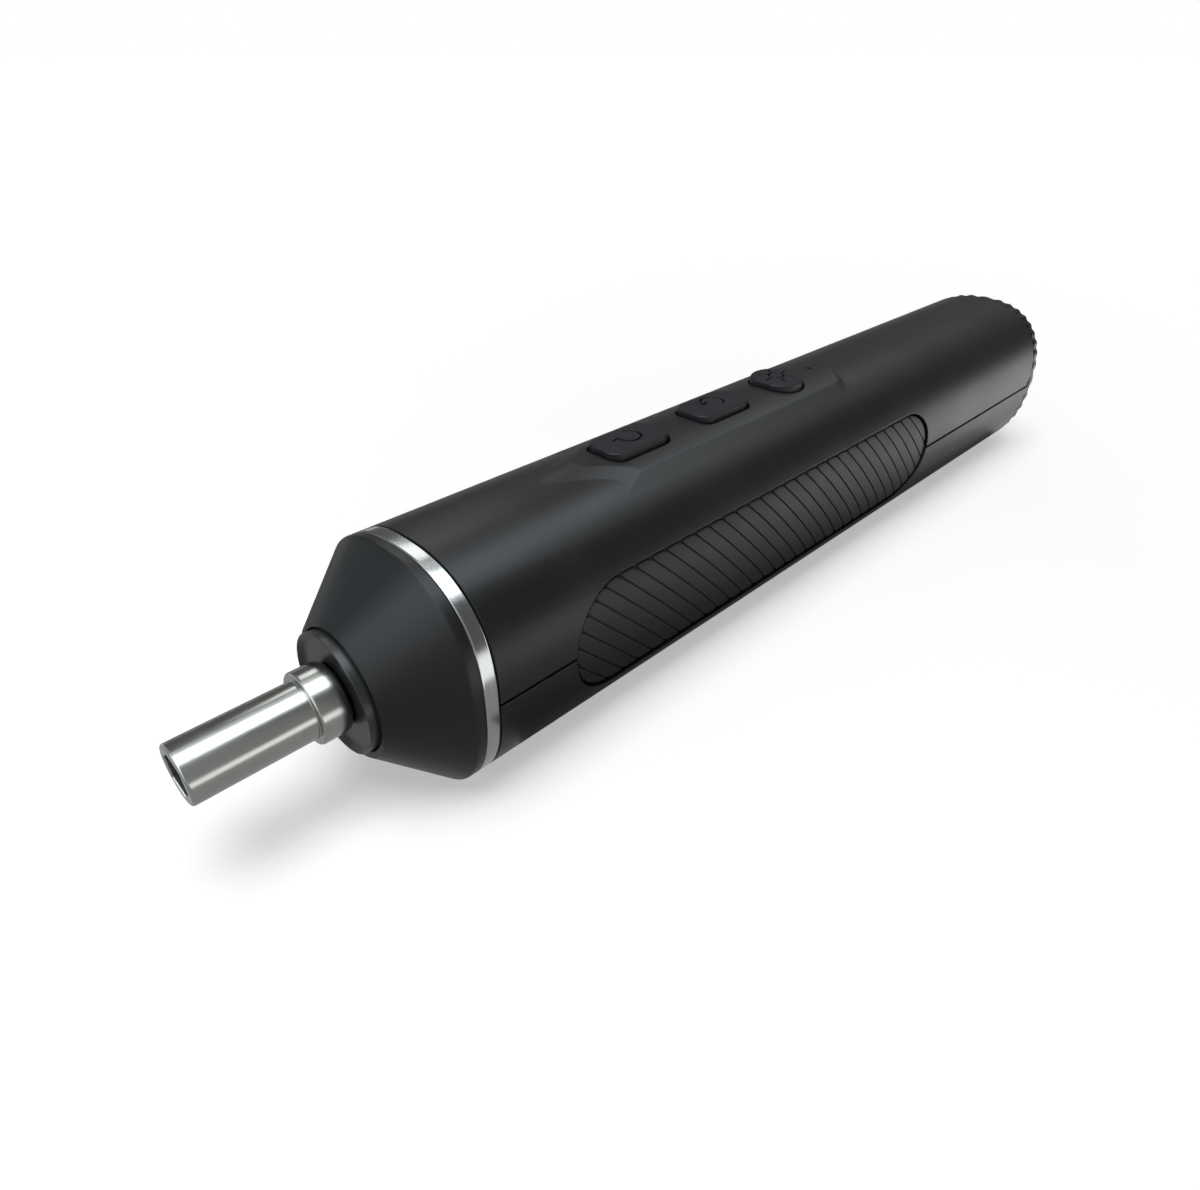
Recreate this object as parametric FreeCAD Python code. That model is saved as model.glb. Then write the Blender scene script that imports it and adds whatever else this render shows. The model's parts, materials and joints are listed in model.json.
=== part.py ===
import FreeCAD, Part
import math
import os

V = FreeCAD.Vector

# Handle section, millimetres, measured from the tool axis
half_width = 20.0
crown = 21.1
keel = 22.4
belly = 21.6
section_power = 2.45
section_points = 48
wall = 2.2
split_z = -0.8
seam_half = 0.3
seam_deep = 0.8
notch_len = 0.6
notch_high = 1.5

# Stations along the tool, measured from the bit tip
collar_x = 19.4
collar_len = 5.45
lens_x = 24.35
cone_x = 25.85
cone_end_x = 37.2
ring_x = 38.9
ring_len = 2.86
seam = 0.1
shell_x = ring_x + ring_len + seam
shell_end = 246.0
tail_len = 3.6
total_len = shell_end + tail_len

# Running and seating clearances
run_gap = 0.03
seat_gap = 0.02
press_gap = 0.005
part_gap = 0.3

# Bit holder with a quarter-inch hexagon socket
hex_flats = 6.42
hex_turn = math.radians(20.0)
socket_depth = 13.0
holder_r = 4.96
collar_r = 6.2
collar_round = 1.5
tip_bevel = 0.3
neck_r = 4.6
magnet_r = 2.85
magnet_len = 2.0
spigot_r = 3.0
journal_r = 4.0
holder_end = lens_x + 1.65
clip_len = 0.6
clip_deep = 0.6

# Nose
cone_top_r = 11.75
cone_low_r = 12.3
cone_round = 0.9
lens_r = 10.66
lens_bore_r = 5.3
lens_rim = 0.25
lens_dish = 0.7
lens_slope = 0.8
lens_plate = 0.8
lens_floor = 28.2
clip_x = lens_floor - 0.9
bush_r = 7.5
bush_len = 5.9
spigot_len = 5.0

# Gear train: sun 9, planet 18, ring 45 teeth in both stages
gear_module = 0.5
sun_teeth = 9
planet_teeth = 18
ring_teeth = sun_teeth + 2 * planet_teeth
pressure = math.radians(25.0)
addendum = 0.9 * gear_module
dedendum = 1.2 * gear_module
flank_gap = 0.04
orbit_r = gear_module * (sun_teeth + planet_teeth) / 2
pin_r = 1.0
planet_len = 5.2
carrier_r = 9.4
carrier_len = 3.0
case_x = 34.6
case_wall = 1.4
case_front = 2.0
washer_len = 0.6
ring_gear_r = 13.2
carrier2_x = case_x + case_front + 1.2
planet2_x = carrier2_x + carrier_len + 0.4
carrier1_x = planet2_x + planet_len + 2.0
planet1_x = carrier1_x + carrier_len + 0.4
plate_x = planet1_x + planet_len + 1.7
plate_len = 2.2
motor_x = plate_x + plate_len

# Motor
can_r = 13.85
can_wall = 1.0
can_len = 37.0
shaft_r = 1.15
rotor_r = 10.8
magnet_gap = 0.4
motor_end = motor_x + can_len
nose_r = 5.0
sleeve_r = 3.0
motor_screw_y = 8.0
terminal_len = 5.2
terminal_y = 7.4
terminal_thick = 0.5

# Battery cell and boards
cell_r = 9.2
cell_len = 65.0
cell_x = motor_end + 21.0
tab_thick = 0.3
tab_gap = 1.0
lead_r = 0.55
board_thick = 1.2
board_z = 14.9
lead_z = board_z - 2.5
board_half = 8.4
board_x0 = 76.0
board_x1 = 157.0
charge_x0 = 204.0
charge_x1 = shell_end - 3.0
charge_z = -1.7

# Button pad and controls
pad_z = 21.8
pad_edge_z = 20.55
pad_half = 8.2
pad_side_slope = 1.75
pad_drop = 1.93
pad_start = 66.0
pad_bow_x = 77.5
pad_bow_rise = 0.0875
pad_bow_fall = 0.389
pad_bow_round = 4.0
pad_rear = 158.8
button_len = 16.0
button_half = 4.5
button_round = 3.1
button_rise = 1.0
button_gap = 0.35
button_lip = 1.1
button_travel = 0.6
forward_x = 91.3
reverse_x = 116.6
lamp_x = 139.3
lamp_r = 5.9
lamp_flat = 5.5
roof_z = 19.6
lip_thick = 1.0
lip_z = roof_z - 0.15 - lip_thick
indicator_x = 152.2
pipe_r = 0.7
switch_half = 3.0
switch_high = 1.6
plunger_r = 1.7

# Side grips
grip_x = 119.6
grip_z = -1.0
grip_half = 61.0
grip_high = 11.1
grip_inset = 0.45
grip_depth = 2.6
grip_back = 1.6
grip_gap = 0.4
rib_count = 31
rib_pitch = 4.033
rib_first = 53.37
rib_slant = 1.03
rib_width = 0.35
rib_deep = 0.7

# Fasteners
boss_r = 4.2
boss_y = 12.0
boss_xs = (motor_end + 11.0, cell_x + cell_len + 9.0)
screw_r = 1.25
screw_head_r = 2.3
screw_head = 1.8
screw_seat = -8.0
small_r = 0.8
small_head_r = 1.6
small_head = 0.9
post_r = 1.8

# Tail
flutes = 40
flute_deep = 0.32
flute_inset = 0.15
port_half = 4.5
port_high = 1.6


def box(x0, x1, y0, y1, z0, z1):
    return Part.makeBox(x1 - x0, y1 - y0, z1 - z0, V(x0, y0, z0))


def rod(x0, x1, r, y=0.0, z=0.0):
    return Part.makeCylinder(r, x1 - x0, V(x0, y, z), V(1, 0, 0))


def post(x, y, z0, z1, r):
    return Part.makeCylinder(r, z1 - z0, V(x, y, z0), V(0, 0, 1))


def tube(x0, x1, r_out, r_in):
    return rod(x0, x1, r_out).cut(rod(x0 - 1, x1 + 1, r_in))


def turned(points):
    """Solid turned about the tool axis from (x, radius) corners."""
    corners = [V(x, 0, r) for x, r in points]
    face = Part.Face(Part.makePolygon(corners + corners[:1]))
    return face.revolve(V(0, 0, 0), V(1, 0, 0), 360)


def around(shape, degrees):
    copy = shape.copy()
    copy.rotate(V(0, 0, 0), V(1, 0, 0), degrees)
    return copy


def power(value, exponent):
    return math.copysign(abs(value) ** exponent, value)


def closed(points):
    curve = Part.BSplineCurve()
    curve.interpolate(Points=points, PeriodicFlag=True)
    return Part.Wire([curve.toShape()])


def section(x, inset, count=section_points, wave=0.0):
    """Rounded-square outline |y/w|^n + |z/h|^n = 1 at station x, with an optional fluted edge."""
    points = []
    for k in range(count):
        t = 2 * math.pi * k / count
        cut = inset + wave * (1 - math.cos(flutes * t)) / 2
        high = (crown if math.sin(t) >= 0 else keel) - cut
        y = (half_width - cut) * power(math.cos(t), 2 / section_power)
        z = high * power(math.sin(t), 2 / section_power)
        points.append(V(x, y, z))
    return closed(points)


def above(z, solid):
    b = solid.BoundBox
    return solid.common(box(b.XMin - 1, b.XMax + 1, b.YMin - 1, b.YMax + 1, z, b.ZMax + 1))


def below(z, solid):
    b = solid.BoundBox
    return solid.common(box(b.XMin - 1, b.XMax + 1, b.YMin - 1, b.YMax + 1, b.ZMin - 1, z))


def prism(inset, x0, x1):
    """Length of the handle section, flat underneath."""
    solid = Part.Face(section(x0, inset)).extrude(V(x1 - x0, 0, 0))
    return above(-(belly - inset), solid)


def stadium(grow, y0, y1):
    """Grip outline in side view, carried across from y0 to y1."""
    r = grip_high + grow
    half = grip_half - grip_high
    ends = [Part.makeCylinder(r, y1 - y0, V(grip_x + s * half, y0, grip_z), V(0, 1, 0)) for s in (-1, 1)]
    bar = box(grip_x - half, grip_x + half, y0, y1, grip_z - r, grip_z + r)
    return bar.fuse(ends).removeSplitter()


def rounded_plan(x, half_x, half_y, r, z):
    """Rounded rectangle in plan at height z, centred on the tool's mid plane."""
    edges = []
    corners = ((1, 1), (-1, 1), (-1, -1), (1, -1))
    starts = []
    for k, (sx, sy) in enumerate(corners):
        c = V(x + sx * (half_x - r), sy * (half_y - r), z)
        a = math.pi / 2 * k
        p = [c + V(r * math.cos(a + d), r * math.sin(a + d), 0) for d in (0, math.pi / 4, math.pi / 2)]
        starts.append((p[0], p[2]))
        edges.append(Part.Arc(*p).toShape())
    for k in range(4):
        edges.append(Part.makeLine(starts[k][1], starts[(k + 1) % 4][0]))
    return Part.Wire(Part.__sortEdges__(edges))


def lamp_plan(grow, z):
    """Round outline with a flat front for the lamp button."""
    r = lamp_r + grow
    f = -(lamp_flat + grow)
    h = math.sqrt(r * r - f * f)
    c = V(lamp_x, 0, z)
    arc = Part.Arc(c + V(f, -h, 0), c + V(r, 0, 0), c + V(f, h, 0)).toShape()
    return Part.Wire([arc, Part.makeLine(c + V(f, h, 0), c + V(f, -h, 0))])


def raise_plan(wire, high):
    return Part.Face(wire).extrude(V(0, 0, high))


def lead(points, r):
    """Round wire laid through the given points with ball elbows."""
    solid = None
    for a, b in zip(points, points[1:]):
        piece = Part.makeCylinder(r, (b - a).Length, a, b - a)
        solid = piece if solid is None else solid.fuse(piece)
    for p in points[1:-1]:
        solid = solid.fuse(Part.makeSphere(r, p))
    return solid.removeSplitter()


def involute(a):
    return math.tan(a) - a


def polar(x, r, a):
    return V(x, r * math.cos(a), r * math.sin(a))


def gear(x0, x1, teeth, tip_r, root_r, thin, turn=0.0):
    """Spur gear between two stations; each flank is an arc through three involute points."""
    pitch_r = gear_module * teeth / 2
    base_r = pitch_r * math.cos(pressure)
    low_r = max(base_r, root_r)
    radii = (low_r, (low_r + tip_r) / 2, tip_r)
    half = math.pi / (2 * teeth) - thin / pitch_r
    h = [half + involute(pressure) - involute(math.acos(min(1.0, base_r / r))) for r in radii]
    step = 2 * math.pi / teeth
    edges = []
    for k in range(teeth):
        c = turn + k * step
        rise = [polar(x0, r, c - a) for r, a in zip(radii, h)]
        fall = [polar(x0, r, c + a) for r, a in zip(radii, h)]
        if low_r > root_r:
            edges.append(Part.makeLine(polar(x0, root_r, c - h[0]), rise[0]))
        edges.append(Part.Arc(*rise).toShape())
        edges.append(Part.Arc(rise[2], polar(x0, tip_r, c), fall[2]).toShape())
        edges.append(Part.Arc(*fall[::-1]).toShape())
        if low_r > root_r:
            edges.append(Part.makeLine(fall[0], polar(x0, root_r, c + h[0])))
        gap = [polar(x0, root_r, c + a) for a in (h[0], step / 2, step - h[0])]
        edges.append(Part.Arc(*gap).toShape())
    return Part.Face(Part.Wire(edges)).extrude(V(x1 - x0, 0, 0))


def external(x0, x1, teeth, turn=0.0):
    r = gear_module * teeth / 2
    return gear(x0, x1, teeth, r + addendum, r - dedendum, flank_gap, turn)


# Nose and its ring

def bit_holder():
    r = holder_r
    c0 = collar_x
    c1 = collar_x + collar_len
    end = holder_end
    body = turned([(0, 0), (0, r - tip_bevel), (tip_bevel, r), (c0, r), (c0, collar_r - tip_bevel),
                   (c0 + tip_bevel, collar_r), (c1, collar_r), (c1, neck_r), (end, neck_r), (end, 0)])
    level = [e for e in body.Edges if e.BoundBox.XLength < 0.01 and abs(e.BoundBox.XMin - c1) < 0.01]
    rear = [e for e in level if abs(e.BoundBox.YMax - collar_r) < 0.01]
    body = body.makeFillet(collar_round, rear)
    hexagon = [polar(-1, hex_flats / math.sqrt(3), hex_turn + math.pi / 3 * k) for k in range(6)]
    socket = Part.Face(Part.makePolygon(hexagon + hexagon[:1])).extrude(V(socket_depth + 1, 0, 0))
    pocket = rod(socket_depth - 1, socket_depth + magnet_len, magnet_r + press_gap)
    bore = rod(socket_depth + magnet_len + 0.6, end + 1, spigot_r)
    return body.cut(socket).cut(pocket).cut(bore)


def bit_magnet():
    return rod(socket_depth, socket_depth + magnet_len, magnet_r)


def output_shaft():
    start = socket_depth + magnet_len + 0.8
    groove_r = journal_r - clip_deep
    groove_end = clip_x + clip_len + 0.1
    body = turned([(start, 0), (start, spigot_r - press_gap), (holder_end, spigot_r - press_gap),
                   (holder_end, journal_r), (clip_x, journal_r), (clip_x, groove_r),
                   (groove_end, groove_r), (groove_end, journal_r), (carrier2_x, journal_r),
                   (carrier2_x, carrier_r), (carrier2_x + carrier_len, carrier_r),
                   (carrier2_x + carrier_len, 0)])
    for k in range(3):
        body = body.cut(around(rod(carrier2_x + 0.5, planet2_x, pin_r + press_gap, orbit_r), 120 * k))
    return body


def retaining_clip():
    x = clip_x + 0.05
    ring = tube(x, x + clip_len, journal_r + 1.4, journal_r - clip_deep + 0.05)
    return ring.cut(box(x - 1, x + 2, -1.6, 1.6, -9, 0))


def light_lens():
    rim = lens_r - lens_rim
    dish = lens_x + lens_dish
    back = dish + lens_plate
    skirt = lens_r - 1.1
    return turned([(dish, lens_bore_r), (dish, rim - lens_slope), (lens_x, rim), (lens_x, lens_r - 0.15),
                   (lens_x + 0.15, lens_r), (lens_floor, lens_r), (lens_floor, skirt), (back, skirt),
                   (back, lens_bore_r)])


def light_board():
    return tube(lens_floor - 1.0, lens_floor, lens_r - 1.2, journal_r + 2.3)


def light_leds():
    r = (lens_r + journal_r) / 2 + 0.6
    chip = box(lens_floor - 1.9, lens_floor - 1.0, r - 1.0, r + 1.0, -1.2, 1.2)
    return Part.Compound([around(chip, 30 + 120 * k) for k in range(3)])


def front_bush():
    return tube(lens_floor + 0.2, lens_floor + 0.2 + bush_len, bush_r, journal_r + run_gap)


lamp_lead_low = lens_r - 1.66
lamp_lead_high = board_z + board_thick - 0.4
lamp_lead_route = [V(lens_floor, 0, lamp_lead_low), V(lens_floor + 2.8, 0, lamp_lead_low),
                   V(case_x - 1.2, 0, lamp_lead_high), V(board_x0, 0, lamp_lead_high)]


def lead_channel(r):
    return lead(lamp_lead_route, r)


def nose_cone():
    circle = []
    for k in range(section_points):
        t = 2 * math.pi * k / section_points
        c = power(math.cos(t), 2 / section_power)
        s = power(math.sin(t), 2 / section_power)
        q = math.hypot(c, s)
        circle.append(V(cone_x, cone_top_r * c / q, (cone_top_r if s >= 0 else cone_low_r) * s / q))
    flank = Part.makeLoft([closed(circle), section(cone_end_x, 0.0)], True, True)
    band = Part.Face(section(cone_end_x, 0.0)).extrude(V(ring_x - cone_end_x, 0, 0))
    body = flank.fuse(band)
    rim = [e for e in body.Edges if abs(e.BoundBox.XMin - cone_end_x) < 0.01 and e.BoundBox.XLength < 0.01]
    body = body.makeFillet(cone_round, rim[:1])
    body = above(-belly, body)
    body = body.fuse(prism(wall + seat_gap, ring_x - 0.5, shell_x + spigot_len))
    seat = rod(case_x, shell_x + spigot_len + 1, ring_gear_r + case_wall + seat_gap)
    recess = rod(cone_x - 1, lens_floor, lens_r + part_gap)
    bore = rod(lens_floor - 1, case_x + 1, bush_r)
    return body.cut(seat).cut(recess).cut(bore).cut(lead_channel(1.0))


def trim_ring():
    return prism(0.0, ring_x, ring_x + ring_len).cut(prism(wall + seat_gap, ring_x - 1, ring_x + ring_len + 1))


# Gearbox

def gear_case():
    r = ring_gear_r + case_wall
    body = rod(case_x, plate_x, r).cut(rod(case_x + case_front, plate_x + 1, ring_gear_r + press_gap))
    return body.cut(rod(case_x - 1, plate_x, journal_r + 0.6))


def gear_plate():
    r = ring_gear_r + case_wall
    body = rod(plate_x, motor_x, r).cut(rod(plate_x - 1, motor_x + 1, nose_r + seat_gap))
    for y in (-motor_screw_y, motor_screw_y):
        body = body.cut(motor_screw(y, press_gap))
    return body


def motor_screw(y, grow):
    x = plate_x
    screw = turned([(x, 0), (x, 2.2 + grow), (x + 1.1, screw_r + grow), (motor_x + 2.8, screw_r + grow),
                    (motor_x + 2.8, 0)])
    screw.translate(V(0, y, 0))
    return screw


def motor_screws():
    return Part.Compound([motor_screw(y, 0.0) for y in (-motor_screw_y, motor_screw_y)])


def ring_gear():
    r = gear_module * ring_teeth / 2
    x0 = carrier2_x + carrier_len
    x1 = plate_x - 0.1
    half_step = math.pi / ring_teeth
    space = gear(x0 - 1, x1 + 1, ring_teeth, r + dedendum, r - addendum, -flank_gap, half_step)
    return rod(x0, x1, ring_gear_r).cut(space)


def thrust_washer():
    x = case_x + case_front + 0.2
    return tube(x, x + washer_len, carrier_r - 1.5, journal_r + run_gap)


def planet(x0, degrees):
    tooth = math.pi / planet_teeth
    blank = external(x0, x0 + planet_len, planet_teeth, tooth)
    blank = blank.cut(rod(x0 - 1, x0 + planet_len + 1, pin_r + run_gap))
    blank.translate(V(0, orbit_r, 0))
    return around(blank, degrees)


def pins(carrier_x, planet_x):
    start = carrier_x + 0.5
    return Part.Compound([around(rod(start, planet_x + planet_len + 0.6, pin_r, orbit_r), 120 * k)
                          for k in range(3)])


def carrier_1():
    disc = rod(carrier1_x, carrier1_x + carrier_len, carrier_r)
    body = disc.fuse(external(planet2_x + 0.2, carrier1_x + 0.5, sun_teeth))
    for k in range(3):
        body = body.cut(around(rod(carrier1_x + 0.5, planet1_x, pin_r + press_gap, orbit_r), 120 * k))
    return body


# Motor

def motor_pinion():
    body = external(planet1_x + 0.2, plate_x - 0.4, sun_teeth)
    return body.cut(rod(planet1_x - 1, plate_x, shaft_r + press_gap))


def motor_shaft():
    return rod(planet1_x + 0.3, motor_end + 3.4, shaft_r)


def motor_can():
    body = rod(motor_x, motor_end, can_r).cut(rod(motor_x + 1.2, motor_end + 1, can_r - can_wall))
    body = body.fuse(rod(plate_x + 0.1, motor_x + 0.5, nose_r))
    body = body.cut(rod(plate_x - 1, motor_x + 3, sleeve_r))
    for y in (-motor_screw_y, motor_screw_y):
        body = body.cut(rod(motor_x - 1, motor_x + 3, screw_r + press_gap, y))
    return body


def motor_bushes():
    front = tube(plate_x + 0.3, motor_x + 1.2, sleeve_r - press_gap, shaft_r + run_gap)
    rear = tube(motor_end - 1.0, motor_end + 2.6, sleeve_r - press_gap, shaft_r + run_gap)
    return Part.Compound([front, rear])


def motor_magnets():
    r = can_r - can_wall - press_gap
    ring = tube(motor_x + 5, motor_end - 5, r, rotor_r + magnet_gap)
    arcs = ring.cut(box(motor_x, motor_end, -20, 20, -4.5, 4.5))
    return Part.Compound(arcs.Solids)


def motor_rotor():
    x0 = motor_x + 6.0
    x1 = motor_end - 6.0
    body = rod(x0, x1, rotor_r)
    for k in range(5):
        neck = box(x0 - 1, x1 + 1, rotor_r - 2.0, rotor_r + 1, -0.9, 0.9)
        body = body.cut(around(neck, 72 * k)).cut(around(rod(x0 - 1, x1 + 1, 2.4, rotor_r - 4.2), 72 * k))
    body = body.fuse(rod(x1 - 1, motor_end - 1.6, 3.4))
    return body.cut(rod(x0 - 1, motor_end, shaft_r + press_gap))


def motor_brushes():
    x = motor_end - 4.6
    block = box(x, x + 2.4, 3.8, 9.0, -1.2, 1.2).fuse(box(x + 2, motor_end, 6.6, 9.0, -1.2, 1.2))
    return Part.Compound([block, around(block, 180)])


def motor_end_cap():
    body = rod(motor_end - 1.0, motor_end, can_r - can_wall - press_gap)
    body = body.fuse(rod(motor_end, motor_end + 1.2, can_r - 0.3)).fuse(rod(motor_end, motor_end + 2.6, nose_r))
    body = body.cut(rod(motor_end - 2, motor_end + 4, sleeve_r))
    for side in (0, 180):
        body = body.cut(around(box(motor_end - 2, motor_end, 6.6, 9.0, -1.2, 1.2), side))
        body = body.cut(around(terminal(), side))
    return body


def terminal():
    return box(motor_end, motor_end + terminal_len, terminal_y, terminal_y + terminal_thick, -1.4, 1.4)


def motor_terminals():
    return Part.Compound([terminal(), around(terminal(), 180)])


# Battery, boards and leads

def battery_cell():
    can = rod(cell_x, cell_x + cell_len, cell_r)
    rims = [e for e in can.Edges if e.BoundBox.XLength < 0.01]
    return can.makeFillet(0.8, rims).fuse(rod(cell_x - tab_gap, cell_x + 0.5, 3.2))


def battery_tabs():
    starts = (cell_x - tab_gap - tab_thick, cell_x + cell_len)
    return Part.Compound([box(x, x + tab_thick, -3.0, 3.0, -3.0, cell_r + 1.8) for x in starts])


def small_screw(x, y, z, way):
    """Pan-head board screw; the head seat is at z and the shank runs off in direction way."""
    head = Part.makeCylinder(small_head_r, small_head, V(x, y, z), V(0, 0, -way))
    return head.fuse(Part.makeCylinder(small_r, 4.0, V(x, y, z), V(0, 0, way)))


control_posts = [(x, y) for x in (board_x0 + 2.5, board_x1 - 2.5) for y in (-5.8, 5.8)]
charge_posts = [(x, y) for x in (charge_x0 + 4.0, charge_x1 - 9.0) for y in (-6.5, 6.5)]


def board_screws():
    upper = [small_screw(x, y, board_z, 1) for x, y in control_posts]
    lower = [small_screw(x, y, charge_z, -1) for x, y in charge_posts]
    return Part.Compound(upper + lower)


def control_board():
    board = box(board_x0, board_x1, -board_half, board_half, board_z, board_z + board_thick)
    for x, y in control_posts:
        board = board.cut(post(x, y, board_z - 1, board_z + 3, small_r + 0.1))
    return board


def switch_bodies():
    z = board_z + board_thick
    cans = []
    for x in (forward_x, reverse_x, lamp_x):
        can = box(x - switch_half, x + switch_half, -switch_half, switch_half, z, z + switch_high)
        cans.append(can.cut(post(x, 0, z + 0.1, z + 3, plunger_r + 0.1)))
    return Part.Compound(cans)


def plunger(x):
    z = board_z + board_thick
    return post(x, 0, z + button_travel + 0.2, lip_z, plunger_r)


def indicator_led():
    z = board_z + board_thick
    return box(indicator_x - 0.8, indicator_x + 0.8, -0.6, 0.6, z, z + 0.7)


def light_pipe():
    z = board_z + board_thick + 0.8
    foot = crown - wall - 0.1
    flange = post(indicator_x, 0, foot - 1.0, foot, pipe_r + 0.8)
    return post(indicator_x, 0, z, pad_z - 0.15, pipe_r).fuse(flange)


def charge_board():
    board = box(charge_x0, charge_x1, -9.0, 9.0, charge_z - board_thick, charge_z)
    for x, y in charge_posts:
        board = board.cut(post(x, y, charge_z - 3, charge_z + 1, small_r + 0.1))
    return board


def port_plan(grow, x0, x1):
    """Rounded slot of the charging port, lengthwise from x0 to x1."""
    r = port_high + grow
    half = port_half - port_high
    ends = [rod(x0, x1, r, s * half) for s in (-1, 1)]
    return box(x0, x1, -half, half, -r, r).fuse(ends).removeSplitter()


def charge_socket():
    x0 = charge_x1 - 5.5
    x1 = total_len - 1.2
    shell = port_plan(0.0, x0, x1).cut(port_plan(-0.35, x0 + 0.6, x1 + 1))
    tongue = box(x0 + 0.3, x1 - 0.8, -3.3, 3.3, -0.35, 0.35)
    feet = [box(x0, charge_x1, y - 0.6, y + 0.6, charge_z, -port_high + 0.2) for y in (-2.2, 2.2)]
    return shell.fuse([tongue] + feet)


def lamp_leads():
    return lead_channel(0.6)


def motor_leads():
    x = motor_end + terminal_len - 0.6
    y = terminal_y - lead_r
    runs = []
    for side in (-y, y):
        runs.append(lead([V(x, side, 0.6), V(x + 2.0, side, 0.6), V(x + 2.0, side, board_z)], lead_r))
    return Part.Compound(runs)


def lead_over(x0, z0, x1, y):
    """Lead that climbs from z0, runs over the cell and climbs again to the control board."""
    return lead([V(x0, y, z0), V(x0, y, lead_z), V(x1, y, lead_z), V(x1, y, board_z)], lead_r)


def battery_leads():
    x = cell_x - tab_gap - tab_thick - lead_r
    front = lead([V(x, -1.5, cell_r), V(x, -1.5, board_z)], lead_r)
    rear = lead_over(cell_x + cell_len + tab_thick + lead_r, cell_r, board_x1 - 6, -1.5)
    return Part.Compound([front, rear])


def charge_leads():
    return Part.Compound([lead_over(charge_x0 + 2.0, charge_z, board_x1 - 5, y) for y in (1.4, 3.0)])


# Controls

def button(plan_top, plan_lip):
    """Cap standing out of the pad with a lip under the roof."""
    cap = raise_plan(plan_top, pad_z + button_rise - lip_z)
    top = [e for e in cap.Edges if e.BoundBox.ZMin > pad_z + button_rise - 0.01]
    cap = cap.makeFillet(0.5, top)
    return cap.fuse(raise_plan(plan_lip, lip_thick)).removeSplitter()


def motion_button(x):
    cap = rounded_plan(x, button_len / 2, button_half, button_round, lip_z)
    lip = rounded_plan(x, button_len / 2 + button_lip, button_half + button_lip, button_round, lip_z)
    return button(cap, lip)


def lamp_button():
    return button(lamp_plan(0.0, lip_z), lamp_plan(button_lip, lip_z))


def button_holes():
    cuts = []
    for x in (forward_x, reverse_x):
        plan = rounded_plan(x, button_len / 2 + button_gap, button_half + button_gap, button_round, roof_z - 1)
        cuts.append(raise_plan(plan, 6))
    cuts.append(raise_plan(lamp_plan(button_gap, roof_z - 1), 6))
    cuts.append(post(indicator_x, 0, board_z, pad_z + 1, pipe_r + seat_gap))
    return cuts


def pad_front_room(length):
    """Room over the bow of the pad: a rounded roof shape that rises to the rear."""
    z = pad_z - pad_bow_rise * (pad_bow_x - pad_start)
    points = []
    for k in range(-7, 8):
        y = 2.0 * k
        points.append(V(pad_start, y, z - pad_bow_fall * (math.hypot(y, pad_bow_round) - pad_bow_round)))
    roof = Part.BSplineCurve()
    roof.interpolate(Points=points)
    lid = Part.makePolygon([points[-1], V(pad_start, points[-1].y, 40), V(pad_start, points[0].y, 40), points[0]])
    face = Part.Face(Part.Wire([roof.toShape()] + lid.Edges))
    return face.extrude(V(length, 0, pad_bow_rise * length))


def pad():
    """Raised, domed pad: its sides run into the handle, its front is a bow, its rear is round."""
    top = pad_z + 1.0
    half = pad_half - (top - pad_edge_z) * pad_side_slope
    foot_z = pad_edge_z - pad_drop
    foot = pad_half + pad_drop * pad_side_slope
    x0 = pad_start
    x1 = pad_rear - pad_half
    rim = [V(x0, -half, top), V(x0, half, top), V(x0, foot, foot_z), V(x0, -foot, foot_z)]
    body = Part.Face(Part.makePolygon(rim + rim[:1])).extrude(V(x1 - x0, 0, 0))
    body = body.fuse(Part.makeCone(foot, half, top - foot_z, V(x1, 0, foot_z), V(0, 0, 1)))
    sag = pad_z - pad_edge_z
    dome = (pad_half ** 2 + sag ** 2) / (2 * sag)
    body = body.common(rod(x0 - 1, pad_rear + foot, dome, 0.0, pad_z - dome))
    return body.cut(pad_front_room(pad_rear + foot - x0))


# Housing

def tail_edge(solid):
    """Rounded rear edge of the handle."""
    rim = Part.makeLoft([section(shell_end - 1.2, -0.01), section(shell_end - 0.5, 0.35),
                         section(shell_end, 1.1)], True, True)
    return solid.cut(box(shell_end - 1.2, shell_end + 1, -30, 30, -30, 30)).fuse(solid.common(rim))


def web(x, r, z0, z1):
    """Cross web two millimetres thick with a round seat on the axis."""
    piece = prism(wall - 0.1, x, x + 2.0).cut(rod(x - 1, x + 3, r))
    return above(z0, below(z1, piece))


def grip_bounds(side):
    """Sideways reach of one grip and the stretch of handle it sits in."""
    reach = (10.0, 30.0) if side > 0 else (-30.0, -10.0)
    return reach, (grip_x - grip_half - 6, grip_x + grip_half + 6)


def grip_back_plate(side):
    reach, span = grip_bounds(side)
    plate = prism(wall - 0.1, *span).cut(prism(grip_depth + grip_back, *span))
    return plate.common(stadium(2.0, *reach))


def grip_pocket(side):
    reach, span = grip_bounds(side)
    return stadium(grip_gap, *reach).cut(prism(grip_depth, *span))


def seam_groove(z0, z1):
    """Thin groove along the joint line of the two handle halves, with a notch at its rear end."""
    x0 = shell_x - 1
    x1 = shell_end - 1.4
    bar = box(x0, x1, -30, 30, z0, z1)
    if z1 > split_z + seam_half / 2:
        bar = bar.fuse(box(x1 - notch_len, x1, -30, 30, z0, split_z + notch_high))
    return bar.cut(prism(seam_deep, x0 - 1, x1 + 1))


def half_shell(upper):
    body = prism(0.0, shell_x, shell_end)
    if upper:
        body = body.fuse(pad())
    body = tail_edge(body)
    body = body.cut(prism(wall, shell_x - 1, shell_end + 1))
    body = body.fuse([grip_back_plate(s) for s in (-1, 1)])
    return above(split_z, body) if upper else below(split_z, body)


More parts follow.
